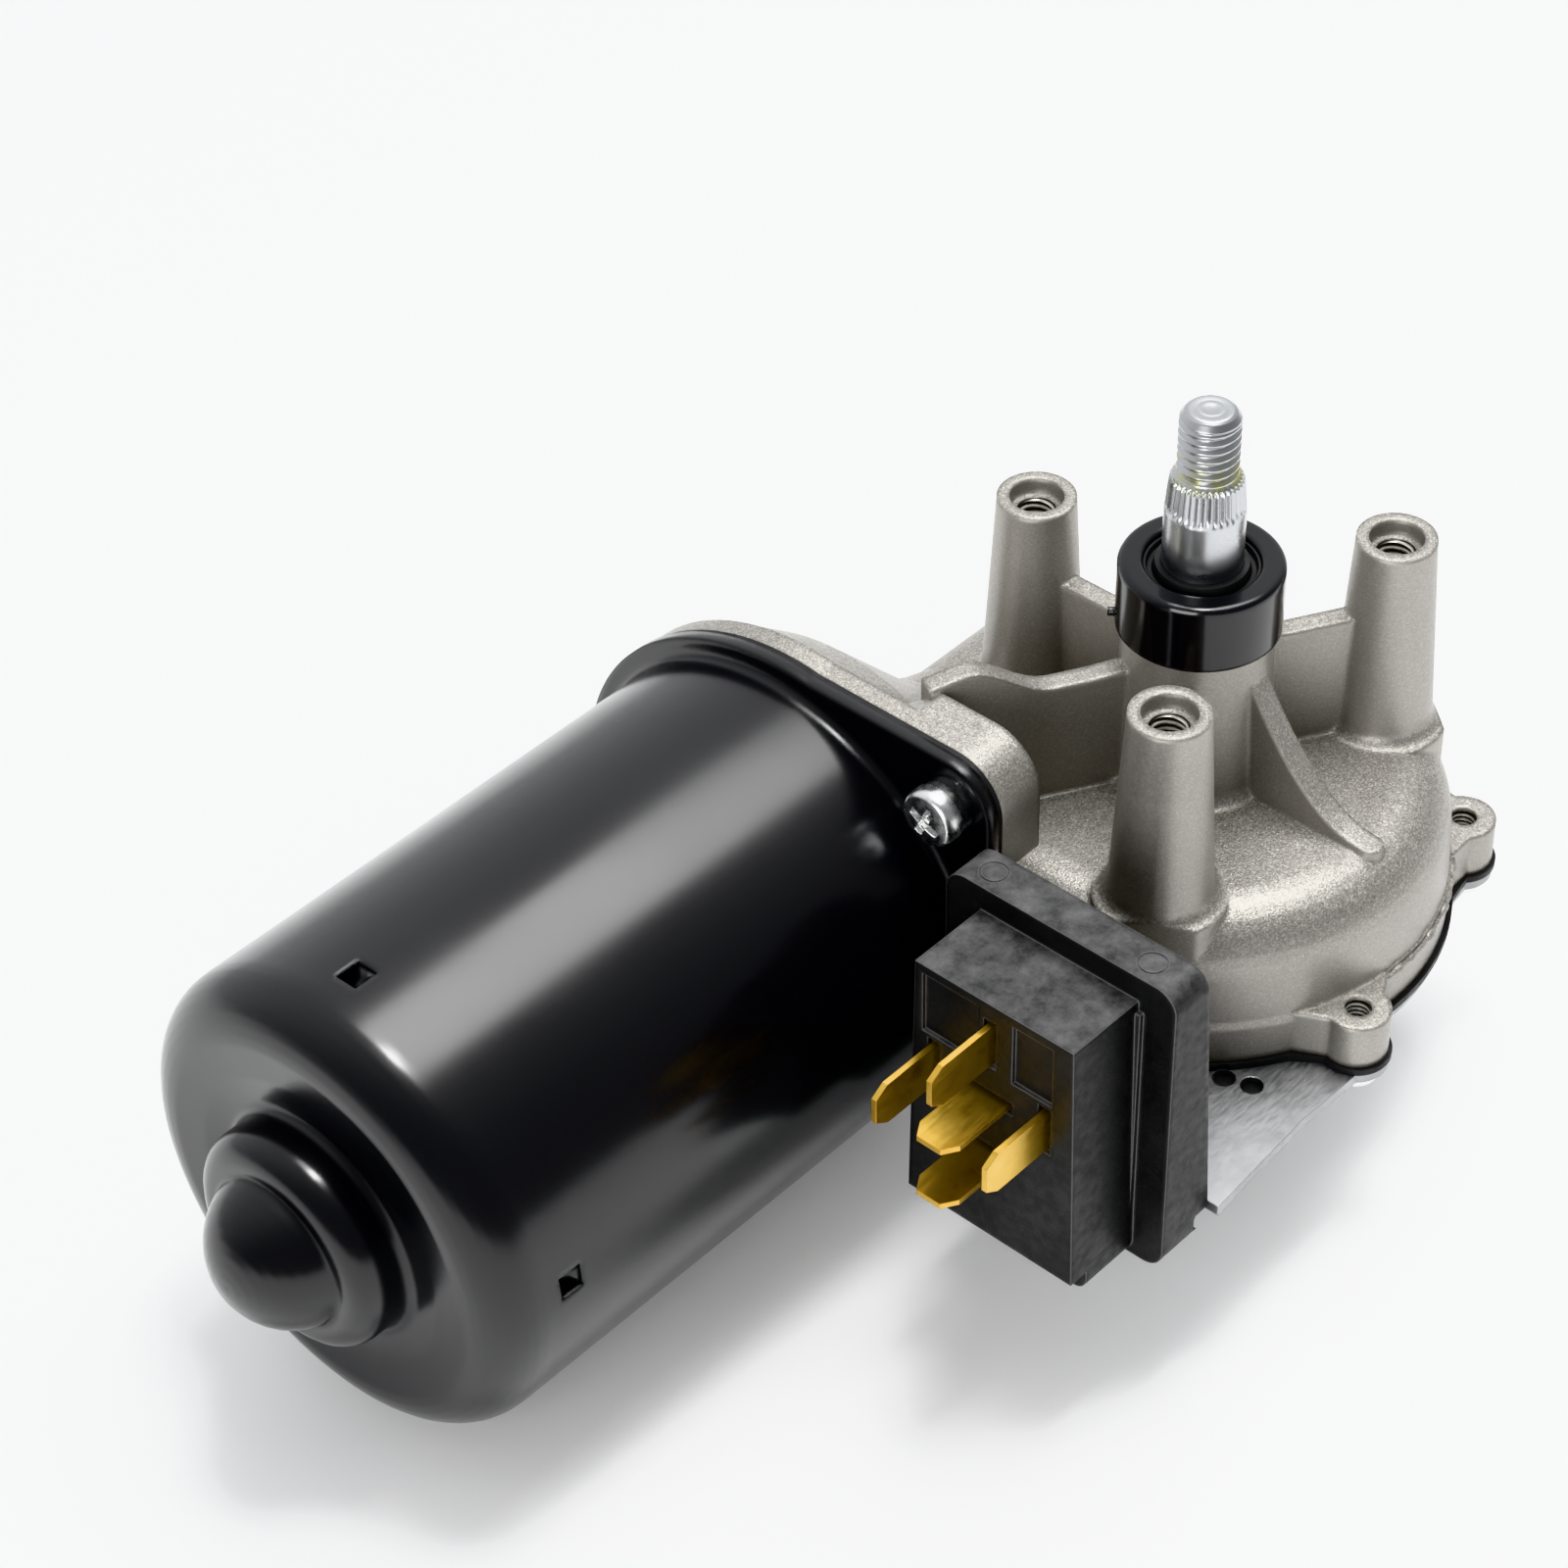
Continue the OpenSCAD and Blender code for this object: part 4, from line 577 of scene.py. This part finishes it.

# %% [markdown]
# ### The shaft's zinc
# The zinc on the shaft has a yellow-green bloom at the foot of the thread. Its share is a
# product: a patchy noise times a window of the height, whose two sides are one rising and one
# falling value. The piece replaces the plain solid and turns with the output.

# %% Plate the shaft and put it in the solid's place
ZINC, BLOOM = (0.46, 0.47, 0.48), (0.48, 0.48, 0.2)
rolled = finish("rolled_zinc", ZINC, 0.3, metallic=1.0)
place_on_shaft = add(rolled, "TexCoord").outputs["Object"]
height = add(rolled, "SeparateXYZ", Vector=place_on_shaft).outputs["Z"]
patchy = spread(rolled, noise(rolled, 420, 3), 0, 0.8, 0.42, 0.62)
falling = spread(rolled, height, 1, 0, 0.0178, 0.0215)
rising = spread(rolled, height, 0, 1, 0.0158, 0.0172)
bloom_share = product(rolled, product(rolled, falling, rising), patchy)
paint(rolled, blend_colours(rolled, bloom_share, ZINC, BLOOM))
polish(rolled, drift(rolled, 300, 2, 0.27, 0.3))
relief(rolled, noise(rolled, 500, 2), 0.4, rounding=0.08)
shaft.data.materials.append(rolled)
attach(shaft, "output")
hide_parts("output_shaft")
print("the shaft rides on the output")

# %% [markdown]
# ## Threads in the casting
# The posts are tapped for the bolts that hold the motor to the car, and the ears for the cover's
# screws. The solids have plain holes. A thin threaded sleeve in each hole shows the ridges and
# leaves the casting's own mesh as it is: the sleeve's outside lies hidden in the metal, and its
# inside is a helix. Each point keeps the ridge's height there as an attribute, which the finish
# turns into painted highlights on the crests and painted shade in the valleys.

# %% Cut the threads
POST_REACH, POST_TURNS = 26.85, [90, 210, 330]
EAR_REACH, EAR_TURNS = 37.7, [-106.3, -41.3, 23.7]
SLEEVE_COLUMNS, ROWS_PER_TURN = 72, 12
STANDS_PROUD, LIES_HIDDEN = 0.02, 0.12

tapped = finish("tapped_metal", (0.46, 0.44, 0.40), 0.3, metallic=0.8)
ridge_height = add(tapped, "Attribute")
ridge_height.attribute_name = "crest"
# Painted highlights on the crests and painted shade in the valleys, from the ridge's height
paint(tapped, tint(tapped, ridge_height.outputs["Fac"], [
    (0.3, (0.05, 0.047, 0.042)), (0.6, (0.42, 0.40, 0.36)), (0.95, (0.72, 0.70, 0.66))]))
polish(tapped, drift(tapped, 900, 3, 0.25, 0.42))


def threaded_sleeve(name, centre, top, bottom, hole_r, pitch, depth):
    """A closed ring: up the outside, hidden in the metal, and down the inside. The inside's radius
    is the hole's less depth * a smooth step of 1 - |2 phase - 1|, with the thread's phase."""
    rows = int(ROWS_PER_TURN * (top - bottom) / pitch)
    z = np.linspace(top, bottom, rows)[:, None]
    phase = helix_phase(z, pitch, SLEEVE_COLUMNS)
    ridge = ramp(1 - np.abs(2 * phase - 1), 0.1, 0.85) * ramp(z, top, top - 0.35 * pitch)
    inside = lathe(hole_r - STANDS_PROUD - depth * ridge, z, SLEEVE_COLUMNS)
    outside = lathe(hole_r + LIES_HIDDEN, np.array([[bottom], [top]]), SLEEVE_COLUMNS)
    sleeve = skin(name, np.concatenate([outside, inside]) + centre, loop=True, sharp=50)
    crest = sleeve.data.attributes.new("crest", "FLOAT", "POINT")
    crest.data.foreach_set("value", np.concatenate([np.zeros((2, SLEEVE_COLUMNS)), ridge]).ravel())
    sleeve.data.materials.append(tapped)
    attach(sleeve, "casing")


for i, degrees in enumerate(POST_TURNS):
    threaded_sleeve(f"post_thread_{i + 1}", polar(POST_REACH, degrees),
                    top=-2.25, bottom=-14, hole_r=2.6, pitch=1.0, depth=0.5)
for i, degrees in enumerate(EAR_TURNS):
    threaded_sleeve(f"ear_thread_{i + 1}", polar(EAR_REACH, degrees),
                    top=-44.5, bottom=-46.8, hole_r=1.75, pitch=0.7, depth=0.26)
print("threaded sleeves:", len(POST_TURNS) + len(EAR_TURNS))

# %% [markdown]
# ## Screws with a crossed recess
# The can's screws have a low pan head. The recess is two crossed slots that get shallower towards
# their ends, so the head's top is a height over a polar grid: a shallow dome less the recess. The
# rest is a turned profile.

# %% Form the screws
MOTOR_Y, MOTOR_Z = 34.5, -42.5
FLANGE_X, SCREW_OFFSET = -42.7, 27.8
HEAD_COLUMNS = 160


def cross_recess(x, y, reach, width, depth):
    """Depth of two crossed slots. Each is a smooth step down across its width, times a smooth step
    down at its reach, and loses 45 per cent of its depth towards its ends."""
    def slot(along, across):
        shallower = 0.55 + 0.45 * ramp(np.abs(along), reach, reach * 0.45)
        side = ramp(np.abs(across), width * 1.25, width * 0.75)
        return shallower * ramp(np.abs(along), reach + 0.1, reach - 0.15) * side
    return depth * np.maximum(slot(x, y), slot(y, x))


def pan_head_screw(name, place, shank_r, length, head_r, head_h, turned):
    """Rings from the middle of the head's face out, down its rounded side and along the shank. The
    head's face is at -head_h, the shank's end at +length; place puts the points into the frame."""
    face_r = np.linspace(0.02, 0.8, 46)[:, None] * head_r
    angle = angles(HEAD_COLUMNS) + turned
    dome = -head_h + 0.14 * head_h * (face_r / (0.8 * head_r)) ** 2
    recess = cross_recess(face_r * np.cos(angle), face_r * np.sin(angle),
                          reach=0.56 * head_r, width=0.12 * head_r, depth=0.42 * head_h)
    face = lathe(face_r, dome + recess, HEAD_COLUMNS)
    bend = np.linspace(0.15, 1, 9)[:, None] * np.pi / 2
    side = lathe(head_r * (0.8 + 0.2 * np.sin(bend)), -head_h * (0.42 + 0.44 * np.cos(bend)),
                 HEAD_COLUMNS)
    rest_r, rest_z = np.array([
        (head_r, -0.12), (head_r - 0.15, 0), (shank_r + 0.2, 0), (shank_r, 0.2),
        (shank_r, length - 0.6), (shank_r - 0.6, length)]).T[..., None]
    rings = np.concatenate([face, side, lathe(rest_r, rest_z, HEAD_COLUMNS)])
    return skin(name, place(rings), sharp=40)


def on_can_axis(x, y, z):
    """Local Z runs along the can, local Y along Y, and local X down."""
    return lambda p: np.stack([x + p[..., 2], y + p[..., 1], z - p[..., 0]], axis=-1)


both = []
for side, where in ((-1, "near"), (1, "far")):
    seat = on_can_axis(FLANGE_X, MOTOR_Y + side * SCREW_OFFSET, MOTOR_Z - side * SCREW_OFFSET)
    both.append(pan_head_screw(f"can_screw_{where}", seat, shank_r=1.9, length=12,
                               head_r=4, head_h=3, turned=0.45 * side))
for screw in both:
    screw.data.materials.append(bright_zinc)
    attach(screw, "casing")
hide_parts("can_screws")
print("screws:", len(both))

# %% [markdown]
# ## Tabs in the can's windows
# The can's windows are lanced: the punch cuts three sides and bends the sheet in, so a small tab
# stays in each window. A tab is a strip with a rounded section, carried along a bent line.

# %% Bend the tabs
CAN_R, WINDOW_X, WINDOW_TURNS = 31.65, -111.8, [84, 178, 264, 358]
HALF_WIDTH, HALF_SHEET, BENT_IN, TAB_LENGTH = 1.35, 0.35, 1.2, 2.5
# The section's eight corners, as shares of the half width and of half the sheet
SECTION = np.array([(1, 0.82), (0.88, 1), (-0.88, 1), (-1, 0.82),
                    (-1, -0.82), (-0.88, -1), (0.88, -1), (1, -0.82)])


def lanced_tab(name, degrees):
    """A strip that bends from the window's front edge into the can. With t from 0 to 1 its middle
    line sinks from the can's radius by BENT_IN sin(t pi / 2)^1.5, and its width shrinks by 12 per
    cent."""
    t = np.linspace(0, 1, 7)[:, None]
    across = HALF_WIDTH * SECTION[:, 0] * (1 - 0.12 * t)
    thick = HALF_SHEET * SECTION[:, 1]
    radial = CAN_R - BENT_IN * np.sin(t * np.pi / 2) ** 1.5 + thick * np.cos(0.9 * t)
    along = WINDOW_X - TAB_LENGTH * t + thick * np.sin(0.9 * t)
    a = np.radians(degrees)
    down = radial * np.cos(a) - across * np.sin(a)
    side = radial * np.sin(a) + across * np.cos(a)
    tab = skin(name, np.stack([along, MOTOR_Y + side, MOTOR_Z - down], axis=-1), sharp=60)
    tab.data.materials.append(black_paint)
    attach(tab, "casing")


for i, degrees in enumerate(WINDOW_TURNS):
    lanced_tab(f"lanced_tab_{i + 1}", degrees)
print("tabs:", len(WINDOW_TURNS))

# %% [markdown]
# ## Flash on the rim
# The casting's rim carries two ragged lines of flash between two of its ears, where the halves of
# the die met. Each is a bead along an arc whose own radius is a sum of waves of the angle, which
# is cheaper than a displaced mesh and has no stray faces.

# %% Run the flash
FLASH_FROM, FLASH_TO = -97, -50
BEAD_ROWS, BEAD_SIDES, THREAD_R = 300, 10, 0.03


def flash_line(name, radius, height, thick, uneven):
    """A bead along the rim. Its own radius is thick + uneven * a sum of two sines and a square wave
    of the angle, it fades to a thread at both ends, and its height sways by 0.08 mm."""
    a = np.radians(np.linspace(FLASH_FROM, FLASH_TO, BEAD_ROWS))[:, None]
    ragged = np.sin(31 * a) + 0.8 * np.sin(83 * a + 1) + 0.6 * np.sign(np.sin(47 * a + 2))
    ends = ramp(a, a[0], a[0] + 0.06) * ramp(a, a[-1], a[-1] - 0.06)
    bead = THREAD_R + (thick + uneven * ragged) * ends
    bead_turn = -AROUND * np.arange(BEAD_SIDES) / BEAD_SIDES
    r = radius + bead * np.cos(bead_turn)
    z = height + bead * np.sin(bead_turn) + 0.08 * np.sin(23 * a)
    line = skin(name, np.stack([r * np.cos(a), r * np.sin(a), z], axis=-1), sharp=50)
    line.data.materials.append(casting)
    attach(line, "casing")


flash_line("rim_flash_inner", radius=34.75, height=-44.4, thick=0.3, uneven=0.02)
flash_line("rim_flash_outer", radius=35.2, height=-45.0, thick=0.42, uneven=0.1)
print("flash from", FLASH_FROM, "to", FLASH_TO, "degrees")

# %% [markdown]
# ## Shade in the cover's holes
# The two locating holes of the cover look black, from the shade under the cover. They go through
# in the solids, so each gets a thin black rubber disc with bevelled edges that stays inside the
# sheet: a painted shadow, not a part of the motor.

# %% Set the shade discs
LOCATING_HOLES = [(38.9, -128.8), (37.06, -133.7)]
SHADE_DISC_COLUMNS = 40
SHADE_DISC_R, SHADE_DISC_Z = np.array([
    (1.35, -52.95), (1.44, -52.9), (1.44, -52.55), (1.35, -52.5)]).T[..., None]
# Painted shadow: a black disc in each locating hole stands for the shade under the cover
for i, (reach, degrees) in enumerate(LOCATING_HOLES):
    disc = lathe(SHADE_DISC_R, SHADE_DISC_Z, SHADE_DISC_COLUMNS)
    shade_disc = skin(f"hole_shade_disc_{i + 1}", disc + polar(reach, degrees))
    shade_disc.data.materials.append(rubber)
    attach(shade_disc, "casing")
print("shade_discs:", len(LOCATING_HOLES))

# %% [markdown]
# ## The table
# A studio table is a pale sheet under the motor. It is one square, wide enough to have no edge in
# the picture, and it is staged, so it belongs to the studio and not to the part.

# %% Lay the floor
HALF_FLOOR = 3
floor_z = solid_box[0][2]
floor_mesh = bpy.data.meshes.new("floor")
corners = HALF_FLOOR * np.array([[-1, -1], [1, -1], [1, 1], [-1, 1]])
floor_mesh.from_pydata(np.column_stack([corners, np.full(4, floor_z)]), [], [(0, 1, 2, 3)])
floor = bpy.data.objects.new("floor", floor_mesh)
bpy.context.collection.objects.link(floor)
pale = finish("pale_table", grey(0.9), 0.6)
paint(pale, clouds(pale, 3, 2, [(0.3, grey(0.89)), (0.7, grey(0.91))]))
floor_mesh.materials.append(pale)
print("floor at", round(floor_z / MM, 1), "mm")

# %% [markdown]
# ## The lamps
# A black can shows each lamp as a band, so the big lamp that it reflects hangs where the
# photograph shows its bright band: almost overhead. A small bright lamp straight above gives the
# hot spots where the band meets the can's roundings. Two soft fills light the near sides and are
# kept out of reflections. Two more boxes light all but the can, so the metal and plastic can be
# brighter without a second band on it: one is low at the left, where the posts are brightest, and
# one is above.

# %% Hang the soft boxes
MIDDLE = Vector((-0.045, 0.02, -0.03))
OVERHEAD = (0.32, 0.05, 0.95)


def soft_box(name, way, distance, size, power):
    """A square lamp that looks at the motor from this way, with metres and watts."""
    data = bpy.data.lights.new(name, "AREA")
    data.shape, data.size, data.energy = "SQUARE", size, power
    lamp = bpy.data.objects.new(name, data)
    bpy.context.collection.objects.link(lamp)
    lamp.location = MIDDLE + Vector(way).normalized() * distance
    lamp.rotation_euler = (lamp.location - MIDDLE).to_track_quat("Z", "Y").to_euler()
    return lamp


soft_box("box_above", OVERHEAD, distance=1.0, size=0.58, power=7)
soft_box("bright_core", (0.08, -0.03, 1.0), distance=1.0, size=0.2, power=4)
fills = [soft_box("fill_left", (-0.8, -0.5, 0.5), distance=1.3, size=0.9, power=11),
         soft_box("fill_right", (0.6, -0.8, 0.45), distance=1.3, size=0.9, power=4)]
for fill in fills:
    fill.visible_glossy = False
cast_boxes = [soft_box("box_low_left", (-0.9, -0.3, 0.28), distance=1.2, size=0.7, power=12),
              soft_box("box_cast_above", OVERHEAD, distance=1.0, size=0.6, power=2.5)]
all_but_the_can = bpy.data.collections.new("lit_by_the_cast_boxes")
lit_solids = [solid for name, solid in solids.items() if name != "motor_can"]
for piece in lit_solids + [shaft, *both]:
    all_but_the_can.objects.link(piece)
for box in cast_boxes:
    box.light_linking.receiver_collection = all_but_the_can

# %% [markdown]
# ## The room
# The far side of the room is brighter than the near side, which gives the wide sheen on the can's
# upper flank. A picture of a room would do it too, but one smooth step is enough: the world's
# strength rises with the cosine between the direction and the room's bright side.

# %% Light the room
BRIGHT_SIDE = Vector((0.35, 0.75, 0.55)).normalized()
world = bpy.data.worlds.new("studio")
world.use_nodes = True
sky = world.node_tree
background = sky.nodes["Background"]
background.inputs["Color"].default_value = (0.97, 0.98, 1.0, 1)
direction = sky.nodes.new("ShaderNodeTexCoord")
cosine = sky.nodes.new("ShaderNodeVectorMath")
cosine.operation = "DOT_PRODUCT"
cosine.inputs[1].default_value = BRIGHT_SIDE
strength = sky.nodes.new("ShaderNodeMapRange")
strength.interpolation_type = "SMOOTHSTEP"
for socket, value in {"From Min": -0.3, "From Max": 0.95, "To Min": 0.3, "To Max": 1.1}.items():
    strength.inputs[socket].default_value = value
sky.links.new(direction.outputs["Generated"], cosine.inputs[0])
sky.links.new(cosine.outputs["Value"], strength.inputs["Value"])
sky.links.new(strength.outputs["Result"], background.inputs["Strength"])
bpy.context.scene.world = world
bpy.context.scene.view_settings.view_transform = "Khronos PBR Neutral"
print("world:", world.name)
